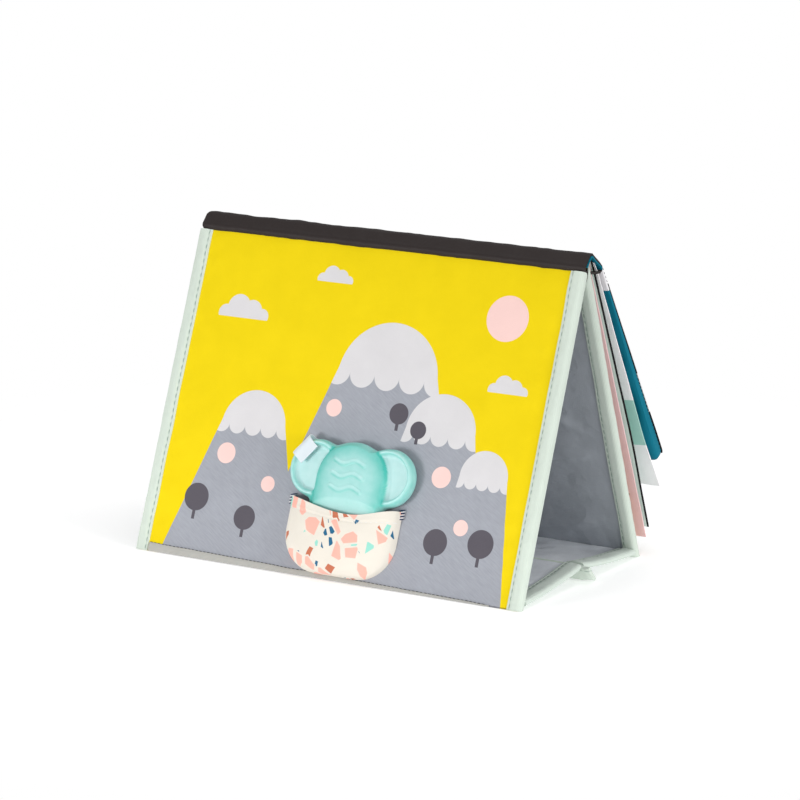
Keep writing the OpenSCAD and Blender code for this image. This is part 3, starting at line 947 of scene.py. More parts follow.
# The lining and the floor have a high mottle, whose dark patches paint the shade of their wrinkles.
LINING = Cloth("grey_lining_cloth", (168, 173, 180), roughness=0.6, crease=0.002,
               mottle_and_shade=0.12)
FLOOR = Cloth("gusset_cloth", (226, 230, 236), roughness=0.6, crease=0.002, mottle_and_shade=0.1)
HEM = Cloth("foot_hem_cloth", (178, 177, 172), roughness=0.8, crease=0.0008)
SPINE = Satin("black_spine_satin", (44, 37, 36), roughness=0.55, sheen=0.03, gloss=0.22,
              crease=0.0016)
POCKET = TerrazzoPrint("terrazzo_cloth", (226, 220, 209), roughness=0.8, crease=0.0005)
RIBBON = Satin("white_ribbon_satin", (214, 224, 230), crease=0.0003)
PINK_LEAF = LeafPrint("pink_leaf", (250, 210, 212), dots=(70, 60, 68), dot_pitch=(26.0, 46.0),
                      dot_r=2.4, sheen=0.05)
MINT_LEAF = LeafPrint("mint_leaf", (220, 246, 236), edge=(26, 26, 30), edge_w=1.6, sheen=0.05)
WHITE_LEAF = LeafPrint("white_leaf", (250, 246, 248), band=(170, 212, 202),
                       band_at=(98.0, 132.0), sheen=0.05)
TEAL = QuiltCloth("teal_cloth", (0, 112, 134), roughness=0.7, sheen=0.0, crease=0.0008)
CONTRAST = ContrastPrint("contrast_print_cloth", (20, 20, 23), roughness=0.7, sheen=0.0,
                         crease=0.0008)
# Thread of the tape's stitches, made darker than the thread itself so that it also carries painted
# shade of the needle holes.
STITCH = Thread("tape_stitches", (132, 156, 144))
NAVY_STITCH = Thread("navy_stitches", (30, 50, 86))
WHITE_STITCH = Thread("white_stitches", (228, 228, 230))
DARK_STITCH = Thread("black_stitches", (24, 24, 28))
SILICONE = Silicone("mint_silicone", (66, 180, 168), (198, 230, 230))
BOARD = Board("grey_board", (196, 188, 172))


def to_object(bm: bmesh.types.BMesh, name: str, finish: object, sharp: float = 50.0) -> Piece:
    """Turns a finished bmesh into a piece.

    Args:
        bm: The mesh, which is freed.
        name: The piece's name.
        finish: What it is made of.
        sharp: Angle above which an edge stays crisp, in degrees.

    Returns:
        The piece, at the origin.
    """
    bmesh.ops.recalc_face_normals(bm, faces=bm.faces)
    mesh = bpy.data.meshes.new(name)
    bm.to_mesh(mesh)
    bm.free()
    mesh.polygons.foreach_set("use_smooth", [True] * len(mesh.polygons))
    mesh.set_sharp_from_angle(angle=math.radians(sharp))
    piece = bpy.data.objects.new(name, mesh)
    bpy.context.scene.collection.objects.link(piece)
    mesh.materials.append(finish.material())
    return piece


def pattern_from_front(bm: bmesh.types.BMesh) -> None:
    """Gives a shape that isn't cut from cloth the pattern that it shows from the front."""
    pattern = bm.loops.layers.uv.new(UV_NAME)
    for face in bm.faces:
        for loop in face.loops:
            loop[pattern].uv = (loop.vert.co.x, loop.vert.co.z)


def soft_slab(name: str, counts: tuple[int, int, int], place: Place,
              spread: tuple[float, float, float, float], finish: object, sharp: float = 50.0,
              unfold: Callable[[float, float], Point] | None = None) -> Piece:
    """Makes a closed slab and bends it into shape.

    Args:
        name: The piece's name.
        counts: Steps across, along and through the slab.
        place: Gives the place of a point from its three shares between 0 and 1.
        spread: The cloth's first and last place across, then along, in mm, for its pattern.
        finish: What it is made of.
        sharp: Angle above which an edge stays crisp, in degrees.
        unfold: Gives the place on the flat cloth from two shares, instead of spread.

    Returns:
        The piece.
    """
    bm = bmesh.new()
    pattern = bm.loops.layers.uv.new(UV_NAME)
    bmesh.ops.create_cube(bm, size=1.0)
    for axis, count in enumerate(counts):
        if count > 1:
            edges = [e for e in bm.edges
                     if abs(e.verts[0].co[axis] - e.verts[1].co[axis]) > 1e-6]
            bmesh.ops.subdivide_edges(bm, edges=edges, cuts=count - 1, use_grid_fill=True)
    for face in bm.faces:
        for loop in face.loops:
            s, t = loop.vert.co.x + 0.5, loop.vert.co.y + 0.5
            x, y = unfold(s, t) if unfold else (between(*spread[:2], s), between(*spread[2:], t))
            loop[pattern].uv = (x * MM, y * MM)
    for vert in bm.verts:
        s, t, r = (part + 0.5 for part in vert.co)
        vert.co = place(s, t, r)
    return to_object(bm, name, finish, sharp)


def inflate(piece: Piece, held: Sequence[bool], pressure: float, cap: float) -> None:
    """Fills a closed piece by a short cloth simulation and keeps the shape it takes.

    Args:
        piece: The closed piece, which starts a little slimmer than it ends.
        held: Tells for each vertex whether it is sewn down.
        pressure: How hard it is filled.
        cap: How far a point may move, in mm.
    """
    scene = bpy.context.scene
    double = bpy.data.objects.new("filling", piece.data.copy())
    scene.collection.objects.link(double)
    sewn = double.vertex_groups.new(name="sewn")
    sewn.add([k for k, fixed in enumerate(held) if fixed], 1.0, "REPLACE")
    cloth = double.modifiers.new("filling", "CLOTH")
    settings = {"quality": 5, "mass": 0.15, "bending_stiffness": 0.05, "shrink_min": -0.02,
                "use_pressure": True, "uniform_pressure_force": pressure,
                "vertex_group_mass": "sewn"}
    for name, value in settings.items():
        setattr(cloth.settings, name, value)
    cloth.settings.effector_weights.gravity = 0.0
    cloth.point_cache.frame_start, cloth.point_cache.frame_end = 1, FILL_FRAMES
    for number in range(1, FILL_FRAMES + 1):
        scene.frame_set(number)
    graph = bpy.context.evaluated_depsgraph_get()
    filled = double.evaluated_get(graph).data
    furthest = 0.0
    for old, new in zip(piece.data.vertices, filled.vertices):
        move = new.co - old.co
        furthest = max(furthest, move.length)
        if move.length > 0:
            far = move.length / (cap * MM)
            old.co += move / far * math.tanh(far)
    LOG.info("%s filled, up to %.1f mm before the cap", piece.name, furthest / MM)
    mesh = double.data
    bpy.data.objects.remove(double)
    bpy.data.meshes.remove(mesh)
    scene.frame_set(1)


def stitches(name: str, spots: Sequence[tuple[Vector, Vector]], radius: float,
             finish: object) -> Piece:
    """Makes a row of stitches as one piece.

    Args:
        name: The piece's name.
        spots: Both ends of each stitch, in metres.
        radius: The thread's radius, in mm.
        finish: What the thread is made of.

    Returns:
        The piece.
    """
    bm = bmesh.new()
    for first, last in spots:
        run = last - first
        turn = run.to_track_quat("Z", "Y").to_matrix().to_4x4()
        size = Matrix.Diagonal((radius * MM, radius * MM, run.length / 2, 1.0))
        bmesh.ops.create_uvsphere(bm, u_segments=6, v_segments=5, radius=1.0,
                                  matrix=Matrix.Translation((first + last) / 2) @ turn @ size)
    pattern_from_front(bm)
    return to_object(bm, name, finish, 180.0)


class Side(Enum):
    """The two ends of the book."""

    LEFT = -1
    RIGHT = 1


@dataclass
class EdgeTape:
    """A tape folded over a raw edge and sewn down along both its lips.

    Attributes:
        name: Name of the piece.
        side: Which end of the book it is on.
        surface: Places a point from its distance along, across and out of the panel.
        run: First and last distance along the panel.
        inner_end: Last distance along for the lip on the inner side.
        panel_t: Thickness of what the tape is folded over.
        width: Width of each lip.
        edge: Distance of the raw edge from the book's middle.
        puff: How far the outer lip swells.
        inner_puff: How far the inner lip swells.
        seed: Picks its wrinkles.
        pitch: Distance between two stitches.
        narrow: Share of its width that the outer lip has at its first and last place.
        inner_narrow: Share of its width that the inner lip has.
        cloth_t: Thickness of the tape's cloth.
        stitch: Half the length of a stitch.
        step: Distance between two points along the tape.
        finish: The tape's cloth.
        line: The section that the tape follows.
        wrinkles: Broad and fine wrinkles of the outer lip.
        wander: How the lips' edges wander.
    """

    name: str
    side: Side
    surface: Place
    run: tuple[float, float]
    inner_end: float
    panel_t: float = 4.0
    width: float = 10.5
    edge: float = 125.0
    puff: float = 0.9
    inner_puff: float = 0.15
    seed: float = 1.0
    pitch: float = TAPE_PITCH
    narrow: tuple[float, float] = (1.0, 1.0)
    inner_narrow: float = 1.0
    cloth_t: float = 0.55
    stitch: float = 1.35
    step: float = 1.05
    finish: Cloth = TAPE
    line: Line = field(init=False)
    wrinkles: tuple[Wave, Wave] = field(init=False)
    wander: Wave = field(init=False)

    def __post_init__(self) -> None:
        """Draws the section that the tape follows and picks its wrinkles."""
        self.wrinkles = (Wave(0.5, 14.0, self.seed), Wave(0.25, 5.0, 7.0))
        self.wander = Wave(0.45, 21.0, self.seed + 3)
        half = self.panel_t / 2
        inner, turn = self.edge - self.width, self.edge - 0.8 * half
        arc = [(turn + half * math.sin(a), -half + half * math.cos(a))
               for a in (math.pi * i / 16 for i in range(17))]
        self.line = Line.even([(inner, 0.0), *arc, (inner, -self.panel_t)])

    def thickness(self, share: float, along: float) -> float:
        """Thickness of the tape at a place round its section and along it."""
        far = share * self.line.length
        back = self.line.length - far
        stitch = 0.5 + 0.5 * math.cos(math.tau * along / self.pitch)
        groove = 0.16 + 0.22 * stitch
        swell = self.puff * clamp(math.sin(math.pi * clamp(far / (self.width + 2.0)))) ** 0.8
        wave = added(self.wrinkles, along, far)
        total = self.cloth_t + swell * (1 + wave) + self.inner_puff * bump(back, 5.0, 3.0)
        total -= (groove + 0.5 * swell) * bump(far, SEAM, 0.75)
        total -= 0.25 * bump(back, SEAM, 0.7) * stitch
        return max(0.2, total * smooth(far, -0.9, 0.7) * smooth(back, -0.9, 0.7))

    def across(self, share: float, r: float, along: float) -> tuple[float, float]:
        """Place of a point of the section, as a distance across and out of the panel."""
        point, left = self.line.at(share)
        out = self.thickness(share, along) * r
        wander = self.wander.at(along, 8 * share) * smooth(abs(share - 0.5), 0.2, 0.45)
        lip = between(*self.narrow, clamp(along / self.run[1]))
        lip = lip if share < 0.5 else self.inner_narrow
        draw = max(0.0, self.edge - self.panel_t / 2 - point[0]) * (1 - lip)
        return (point[0] + draw + wander + left[0] * out, point[1] + left[1] * out)

    def build(self) -> tuple[Piece, Piece]:
        """Makes the tape and its stitches.

        Returns:
            The tape and the stitches.
        """
        start, end = self.run

        def put(along: float, share: float, r: float) -> Vector:
            """Places a point from its distance along the tape and its share round it."""
            u, w = self.across(share, r, along)
            return self.surface(along, self.side.value * u, w)

        def place(s: float, t: float, r: float) -> Vector:
            """Places a point of the tape, whose inner lip may end sooner."""
            last = between(end, self.inner_end, smooth(t, 0.45, 0.62))
            return put(between(start, last, s), t, r)

        steps = max(8, round((end - start) / self.step))
        tape = soft_slab(self.name, (steps, 34, 1), place,
                         (start, end, 0.0, self.line.length), self.finish, 60.0)
        spots = []
        margin, spare, seam = 2.0, 1.5, SEAM / self.line.length
        for k in range(int((min(end, self.inner_end) - start - margin) / self.pitch)):
            middle = start + margin + (k + 0.5) * self.pitch
            middle -= (middle - self.pitch / 2) % self.pitch
            if middle - spare >= start and middle + spare <= end:
                ends = (middle - self.stitch, middle + self.stitch)
                spots += [tuple(put(end_at, share, 1.0) for end_at in ends)
                          for share in (seam, 1 - seam)]
        return tape, stitches(self.name + "_stitches", spots, 0.3, STITCH)


@dataclass
class Cover:
    """One stiff cover with its outer cloth, lining and bound side edges.

    Attributes:
        tent: The tent's places.
        body: The CAD body that it rides on.
        front: True for the front cover.
        top: Height of the outer cloth's upper edge.
        inset: Distance of the cloth's side edges from the book's.
        cloth_t: Thickness of the outer cloth.
        lining_in: How far behind the outer face the lining lies.
        lining_t: Thickness of the lining.
        folds: The lining's deep folds, as height, slant, place up the cover and width.
        pucker: Puckers of the outer cloth beside the tapes.
        waves: Broad and fine waves of the outer cloth.
    """

    tent: Tent
    body: str
    front: bool
    top: float
    inset: float = 1.2
    cloth_t: float = 0.75
    lining_in: float = 3.05
    lining_t: float = 0.9
    folds: tuple[tuple[float, float, float, float], ...] = (
        (1.5, 0.45, 132.0, 4.0), (1.2, 0.0, 66.0, 3.4), (1.4, -0.2, 2.0, 3.6),
        (1.2, -0.6, 84.0, 4.2), (1.2, 0.3, 172.0, 3.6), (1.1, -0.1, 34.0, 4.0))
    pucker: Wave = Wave(0.55, 7.0, 2.0)
    waves: tuple[Wave, Wave] = (Wave(0.34, 42.0, 5.0), Wave(0.16, 17.0, 6.0))

    @property
    def stem(self) -> str:
        """How the names of its pieces start."""
        return "front" if self.front else "rear"

    @property
    def board(self) -> str:
        """The stiff board that its cloth is stretched over."""
        return "front_cover_board" if self.front else "rear_panel_board"

    def surface(self, along: float, u: float, w: float) -> Vector:
        """Places a point on this cover from its height, place across and distance out."""
        return self.tent.front(u, along, w) if self.front else self.tent.rear(u, along, w)

    def cloth(self) -> Piece:
        """Makes the outer cloth, with puckers along its bound edges.

        Returns:
            The outer cloth.
        """
        half = self.tent.half_w - self.inset

        def place(s: float, t: float, r: float) -> Vector:
            """Places a point of the cloth, which is flat where it is bound."""
            u, v = between(-half, half, s), self.top * t
            edge = half - abs(u)
            pucker = self.pucker.at(v, math.copysign(9.0, u)) * bump(edge, 13.0, 6.0)
            pucker *= smooth(edge, 9.2, 12.0)
            swell = 0.35 * smooth(edge, 8, 30) * smooth(v, 0, 24) * smooth(self.top - v, 0, 24)
            wave = added(self.waves, u, v)
            calm = smooth(v, 0, 10) * smooth(self.top - v, 0, 12)
            rise = (pucker + (swell + wave + 0.1) * smooth(edge, 8.5, 16)) * calm
            rise = rise if self.front else 0.3 * rise
            return self.surface(v, u, -self.cloth_t * (1 - r) + clamp(rise, -0.2, 1.0))

        piece = soft_slab(f"{self.stem}_cloth", (180, 140, 1), place,
                          (-half, half, 0.0, self.top), YELLOW if self.front else PLAIN_YELLOW)
        if self.front:
            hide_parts("front_cover_face", "print_grey", "print_light", "print_pink",
                        "print_dark")
        else:
            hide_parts("rear_panel_face")
        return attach(piece, self.body)

    def lining(self) -> Piece:
        """Makes the lining, with the creases of handled cloth.

        Returns:
            The lining.
        """
        half, top, foot = self.tent.half_w - self.inset, self.tent.hinge, 0.4
        seed, deep, highest = (11.0, 0.5, 1.2) if self.front else (14.0, 1.0, 1.9)
        drift = Wave(3.0, 40.0, seed + 2)
        waves = (Wave(0.5, 32.0, seed), Wave(0.22, 12.0, seed + 1))

        def place(s: float, t: float, r: float) -> Vector:
            """Places a point of the lining, which is flat where it is sewn down."""
            u, v = between(-half, half, s), between(foot, top, t)
            calm = smooth(half - abs(u), 8, 34) * smooth(v, 0, 12) * smooth(top - v, 0, 14)
            bent = v + drift.at(u, v)
            fold = sum(height * bump(bent + slant * u, middle, width)
                       for height, slant, middle, width in self.folds)
            rise = clamp(0.3 + deep * fold + added(waves, u, v), 0.0, highest) * calm
            return self.surface(v, u, -self.lining_in - self.lining_t * (1 - r) - rise)

        piece = soft_slab(f"{self.stem}_lining", (160, 120, 1), place, (-half, half, 0.0, top),
                          LINING)
        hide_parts("front_cover_lining" if self.front else "rear_panel_lining")
        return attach(piece, self.body)

    def tapes(self) -> list[Piece]:
        """Makes the tapes on both side edges.

        Returns:
            The tapes and their stitches.
        """
        made, stem = [], self.stem
        for side in Side:
            label = side.name.lower()
            left_front = self.front and side is Side.LEFT
            tape, thread = EdgeTape(
                f"{stem}_tape_{label}", side, self.surface, (0.0, self.top), self.tent.hinge,
                narrow=(0.62, 0.72) if left_front else (0.7, 0.7),
                inner_narrow=0.75 if self.front else 0.6,
                seed=20.0 + side.value + 5 * self.front).build()
            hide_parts(f"{stem}_binding_{label}")
            for piece in (tape, thread):
                made.append(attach(piece, self.body))
        return made


@dataclass
class FootHem:
    """The grey hem along the front cover's foot, which tapers out towards the right.

    Attributes:
        tent: The tent's places.
        left: Height at the left end.
        right: Height at the right end.
        first: Place of the left end across the book.
        last: Place of the right end.
        pitch: Distance between two stitches.
        stitch: Length of a stitch.
        uneven: How its upper edge wanders.
        lumps: How its thickness varies.
        hand: How the stitches' lengths vary.
    """

    tent: Tent
    left: float = 4.9
    right: float = 0.8
    first: float = -117.0
    last: float = 106.0
    pitch: float = 2.6
    stitch: float = 1.9
    uneven: Wave = Wave(0.35, 16.0, 31.0)
    lumps: Wave = Wave(0.25, 9.0, 33.0)
    hand: Wave = Wave(0.5, 5.0, 35.0)

    def height(self, u: float) -> float:
        """Height of the hem's upper edge at a place across the book."""
        share = (u - self.first) / (self.last - self.first)
        return between(self.left, self.right, share) + self.uneven.at(u)

    def build(self) -> list[Piece]:
        """Makes the hem as a soft flattened roll, with the dark thread along its upper edge.

        Returns:
            The hem and its thread.
        """
        def place(s: float, t: float, r: float) -> Vector:
            """Places a point of the roll, which is thinner towards the right."""
            u = between(self.first, self.last, s)
            v = self.height(u) * t
            round_off = math.sin(math.pi * clamp(0.04 + 0.92 * t)) ** 0.5
            thick = 0.35 + 0.7 * round_off * (0.45 + 0.55 * (1 - s))
            return self.tent.front(u, v, 0.1 + thick * (1 + self.lumps.at(u, v)) * r)

        piece = soft_slab("foot_hem", (150, 8, 1), place, (self.first, self.last, 0.0, 6.0), HEM)
        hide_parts("front_bottom_hem")
        spots = []
        for k in range(int((self.last - self.first) / self.pitch)):
            u = self.first + self.pitch * k
            far = u + self.stitch + self.hand.at(u)
            spots.append(tuple(self.tent.front(x, self.height(x) + 0.05, 0.3) for x in (u, far)))
        thread = stitches("foot_hem_stitches", spots, 0.3, DARK_STITCH)
        return [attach(made, "front_cover") for made in (piece, thread)]


@dataclass
class Spine:
    """The satin band over the ridge, and the edge that is turned in under it.

    Attributes:
        tent: The tent's places.
        wall: Thickness of the band.
        half: Distance from the book's middle to each end of the band.
        front_r: Radius of the rolled front edge.
        crown_r: Radius of the crown.
        rear_r: Radius of the rolled rear edge.
        turn_in: Gap between the band and the edge that is turned in under it.
        front_drop: How far below the ridge, down the slope, the front edge ends.
        front_out: How far the front edge stands out of the cover's face.
        folds: Broad folds of the band.
        ripples: Fine ripples of the band.
        frill: How its open end waves, along y and z.
    """

    tent: Tent
    wall: float = 1.4
    half: float = 125.7
    front_r: float = 2.4
    crown_r: float = 3.4
    rear_r: float = 2.4
    turn_in: float = 0.15
    front_drop: float = 7.5
    front_out: float = 1.6
    folds: Wave = Wave(0.45, 26.0, 41.0)
    ripples: Wave = Wave(0.34, 6.0, 42.0)
    frill: tuple[Wave, Wave] = (Wave(0.5, 1.7, 43.0), Wave(0.5, 1.7, 44.0))

    def crown_centre(self) -> Point:
        """Centre of the crown, in the tent's section."""
        return (4.0, self.tent.ridge - 1.2)

    def rear_centre(self) -> Point:
        """Centre of the rolled rear edge, in the tent's section."""
        return (15.0, self.tent.ridge - 8.2)

    def discs(self, inner: float = 0.0) -> list[tuple[Point, float]]:
        """The rounds that the cloth is folded over, from front to rear.

        Args:
            inner: How far inside the band's outer face the cloth lies.

        Returns:
            Each round's centre and radius.
        """
        front = self.tent.slope(-1, self.tent.cover - self.front_drop + self.front_r,
                                self.front_out - self.front_r)
        return [(front, self.front_r - inner), (self.crown_centre(), self.crown_r - inner),
                (self.rear_centre(), self.rear_r - inner)]

    def build(self) -> Piece:
        """Makes the band: wavy satin, closed at the left and open at the right.

        Returns:
            The band.
        """
        line = Line.around(self.discs(), 268.0, -52.0)
        heart = (self.crown_centre()[0] - 1.5, self.crown_centre()[1] - 2.5)
        seam, seam_pitch, shut, open_end = 0.09, 3.6, 3.2, 5.0

        def place(s: float, t: float, r: float) -> Vector:
            """Places a point of the band: drawn in at its left end, flared at its right."""
            x = between(-self.half, self.half, s)
            (y, z), (out_y, out_z) = line.at(t)
            hem = bump(t, 0.0, 0.05) + bump(t, 1.0, 0.05)
            soft = self.folds.at(x, 40 * t) + self.ripples.at(x, 12 * t)
            puff = 0.75 * math.sin(math.pi * clamp(t / 0.45))
            out = (r - 1) * (self.wall - self.turn_in) + (soft + puff) * (1 - 0.6 * hem)
            out += 0.12 * bump(t, seam, 0.02) * math.cos(math.tau * x / seam_pitch)
            out -= 0.25 * bump(t, seam, 0.015)
            close = between(0.35, 1.0, quarter_round((x + self.half) / shut))
            flare = smooth(x, self.half - open_end, self.half)
            wave_y, wave_z = (flare * wave.at(9 * t) for wave in self.frill)
            y = between(heart[0], y + out_y * out, close)
            z = between(heart[1], z + out_z * out, close)
            return self.tent.section(x, y + out_y * wave_y, z + out_z * wave_z)

        piece = soft_slab("satin_band", (250, 64, 1), place, (-self.half, self.half, 0.0, 45.0),
                          SPINE, 60.0)
        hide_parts("spine_band")
        line.length * MM
        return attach(piece, "stand")

    def turned_edge(self) -> Piece:
        """Makes the teal edge that is turned in under the band and shows at its open end.

        Returns:
            The turned edge.
        """
        line = Line.around(self.discs(self.wall + self.turn_in), 150.0, -40.0)
        first, last = 3 - self.half, self.half + 0.7

        def place(s: float, t: float, r: float) -> Vector:
            """Places a point of the turned edge, which curls a little at its open end."""
            x = between(first, last, s)
            (y, z), (out_y, out_z) = line.at(t)
            curl = 0.3 * smooth(x, self.half - 6, last) * math.sin(9 * t)
            out = 0.75 * (r - 1) + curl
            return self.tent.section(x, y + out_y * out, z + out_z * out)

        piece = soft_slab("turned_edge", (120, 40, 1), place, (first, last, 20.0, 40.0), TEAL)
        line.length * MM
        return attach(piece, "stand")


@dataclass
class Page:
    """One cloth page, sewn in under the band and hanging behind the rear cover.

    Attributes:
        name: Name of the piece.
        tent: The tent's places.
        spine: The band that holds it.
        finish: Its printed cloth.
        root: Share of the way from the rear cover to the band's rear edge.
        lean: Its lean from upright, in degrees.
        length: Its length below the root.
        flare: How far its foot bends outwards.
        flare_from: Share of its length where the bend starts.
        lift: Height in the sewn bundle under the band.
        thick: Its thickness.
        seed: Picks its waves.
    """

    name: str
    tent: Tent
    spine: Spine
    finish: LeafPrint
    root: float
    lean: float
    length: float
    flare: float = 0.0
    flare_from: float = 0.55
    lift: float = 0.0
    thick: float = 1.5
    seed: float = 50.0

    def line(self) -> Line:
        """Draws the page's section, from the bundle under the band to its foot."""
        block = self.tent.slope(1, self.tent.cover - 4.5, 0.9)
        root = [between(a, b, self.root) for a, b in zip(block, self.spine.rear_centre())]
        crown_y, crown_z = self.spine.crown_centre()
        lean = math.radians(self.lean)
        c, s = math.cos(lean), math.sin(lean)
        points = [(crown_y - 2.6, crown_z - 0.9 + self.lift), (crown_y, crown_z + self.lift),
                  ((crown_y + root[0]) / 2 + 0.4, (crown_z + root[1]) / 2 + 0.8 + self.lift / 2)]
        for share in (0.02, 0.08, 0.2, 0.4, 0.6, 0.75, 0.88, 1.0):
            down = self.length * share
            bend = self.flare * smooth(share, self.flare_from, 1.1) ** 1.3
            points.append((root[0] + s * down + c * bend, root[1] - c * down + s * bend))
        return Line.curved(points)

    def build(self) -> Piece:
        """Makes the page as thin padded cloth with soft sewn edges.

        Returns:
            The page.
        """
        line = self.line()
        length, half = line.length, self.tent.half_w - 0.6
        waves = (Wave(0.55, 60.0, self.seed), Wave(0.25, 22.0, self.seed + 1))

        def place(s: float, t: float, r: float) -> Vector:
            """Places a point of the page, which hangs free below the band."""
            x = between(-half, half, s)
            (y, z), (out_y, out_z) = line.at(t)
            down = t * length
            free = smooth(down, 12, 60)
            edge = min(half - abs(x), length - down)
            thick = self.thick * between(0.35, 1.0, smooth(edge, 0.0, 5.0))
            thick *= between(0.45, 1.0, smooth(down, 8, 20))
            thick -= 0.4 * bump(edge, 4.5, 0.8) * free
            shift = added(waves, x, down) * free + (0.5 - r) * thick
            return self.tent.section(x, y + out_y * shift, z + out_z * shift)

        piece = soft_slab(self.name, (120, 110, 1), place, (-half, half, -12.0, length - 12),
                          self.finish, 60.0)
        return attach(piece, "stand")


@dataclass
class BackCover:
    """The loose padded back cover and its printed outer cloth.

    Attributes:
        tent: The tent's places.
        spine: The band that it hangs from.
        lean: Its lean from upright, in degrees.
        length: Its length below the hinge line.
        top_t: Half thickness near the top.
        foot_t: Half thickness near the foot.
        corner: Radius of its lower corners.
        pressure: How hard the simulation fills it.
        furthest: How far the filling may move a point.
        print_from: How far down the printed cloth starts.
        whip: Distance between two stitches of its side edges.
        lumps: How its thickness varies.
        bend: How the whole leaf bends.
    """

    tent: Tent
    spine: Spine
    lean: float = 32.4
    length: float = 150.0
    top_t: float = 1.0
    foot_t: float = 4.1
    corner: float = 6.0
    pressure: float = 0.6
    furthest: float = 2.6
    print_from: float = 14.5
    whip: float = 3.0
    lumps: Wave = Wave(0.06, 40.0, 71.0)
    bend: Wave = Wave(0.5, 70.0, 75.0)

    def place(self, u: float, down: float, w: float) -> Vector:
        """Places a point of the leaf, from its middle plane outwards."""
        c, s = math.cos(math.radians(self.lean)), math.sin(math.radians(self.lean))
        y, z = self.spine.rear_centre()
        gap = self.spine.rear_r + 0.8
        return self.tent.section(u, y + gap * c + down * s + w * c,
                                 z + gap * s - down * c + w * s)

    def swell(self, u: float, down: float) -> float:
        """Half thickness of the stuffed leaf."""
        full = self.top_t + (self.foot_t - self.top_t) * clamp((down - 10) / 120) ** 1.3
        full *= 1 + self.lumps.at(u, down)
        rim = quarter_round((self.tent.half_w - abs(u)) / 4.5) * 0.4 + 0.6
        end = quarter_round((self.length - down) / 5.0) * 0.92 + 0.08
        neck = 0.9 + (full - 0.9) * smooth(down, 6, 20)
        return max(0.35, neck * rim * end)

    def half_width(self, down: float) -> float:
        """Half width of the leaf, whose lower corners are round."""
        over = clamp((down - self.length + self.corner) / self.corner)
        return self.tent.half_w - 0.2 - self.corner * (1 - math.sqrt(1 - over ** 2))

    def wave(self, u: float, down: float) -> float:
        """Gentle bending of the whole leaf."""
        return self.bend.at(u, down) * smooth(down, 10, 60)

    def build(self) -> list[Piece]:
        """Makes the stuffed leaf and the printed cloth on its outer side.

        Returns:
            The leaf, its printed cloth and the stitches of its side edges.
        """
        half = self.tent.half_w - 0.2

        def pad(s: float, t: float, r: float) -> Vector:
            """Places a point of the leaf before it is filled."""
            down = -0.6 + (self.length + 0.6) * t
            u = (2 * s - 1) * self.half_width(down)
            return self.place(u, down, self.wave(u, down) + (2 * r - 1) * self.swell(u, down))

        leaf = soft_slab("padded_back", (84, 52, 2), pad, (-half, half, 0.0, self.length), TEAL,
                         70.0)
        out = (self.place(0, 20, 1) - self.place(0, 20, 0)) / MM
        top, down_way = self.place(0, 0, 0), (self.place(0, 1, 0) - self.place(0, 0, 0)) / MM
        sewn = []
        for vert in leaf.data.vertices:
            down = (vert.co - top).dot(down_way) / MM
            sewn.append(min(half - abs(vert.co.x / MM), self.length - down, down - 16) < 4.0)
        inflate(leaf, sewn, self.pressure, self.furthest)
        rounded = leaf.modifiers.new("rounded", "SUBSURF")
        rounded.levels = rounded.render_levels = 1
        tree = BVHTree.FromPolygons([v.co for v in leaf.data.vertices],
                                    [p.vertices for p in leaf.data.polygons])
        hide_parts("back_cover_pad")
        first, last, rim = self.print_from, self.length - 3.2, half + 0.1
        outside = 14.0

        def cover(s: float, t: float, r: float) -> Vector:
            """Places a point of the printed cloth on the filled leaf."""
            down = between(first, last, t)
            beside = self.half_width(down) + 0.1
            u = (2 * s - 1) * beside
            edge = min(beside - abs(u), down - first, last - down)
            inner = clamp(u, 0.7 - beside, beside - 0.7)
            hit = tree.ray_cast(self.place(inner, down, outside), -out)[0]
            over = (hit - self.place(inner, down, 0.0)).dot(out) / MM
            return self.place(u, down, over - 0.35 + 1.05 * r * smooth(edge, -1.2, 1.2))

        outer = soft_slab("back_print", (130, 90, 1), cover, (-rim, rim, first, last), CONTRAST)
        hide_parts("back_cover_face", "back_cover_print")
        spots = []
        for end in (-1, 1):
            for k in range(int((self.length - 6) / self.whip)):
                down = 2.4 + self.whip * k
                rise = self.swell(half - 1.2, down)
                spots.append((self.place(end * (half - 1.4), down, rise + 0.1),
                              self.place(end * (half + 0.15), down + 1.4, 0.35 * rise)))
        whip = stitches("back_edge_stitches", spots, 0.5, DARK_STITCH)
        return [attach(piece, "back_cover") for piece in (leaf, outer, whip)]


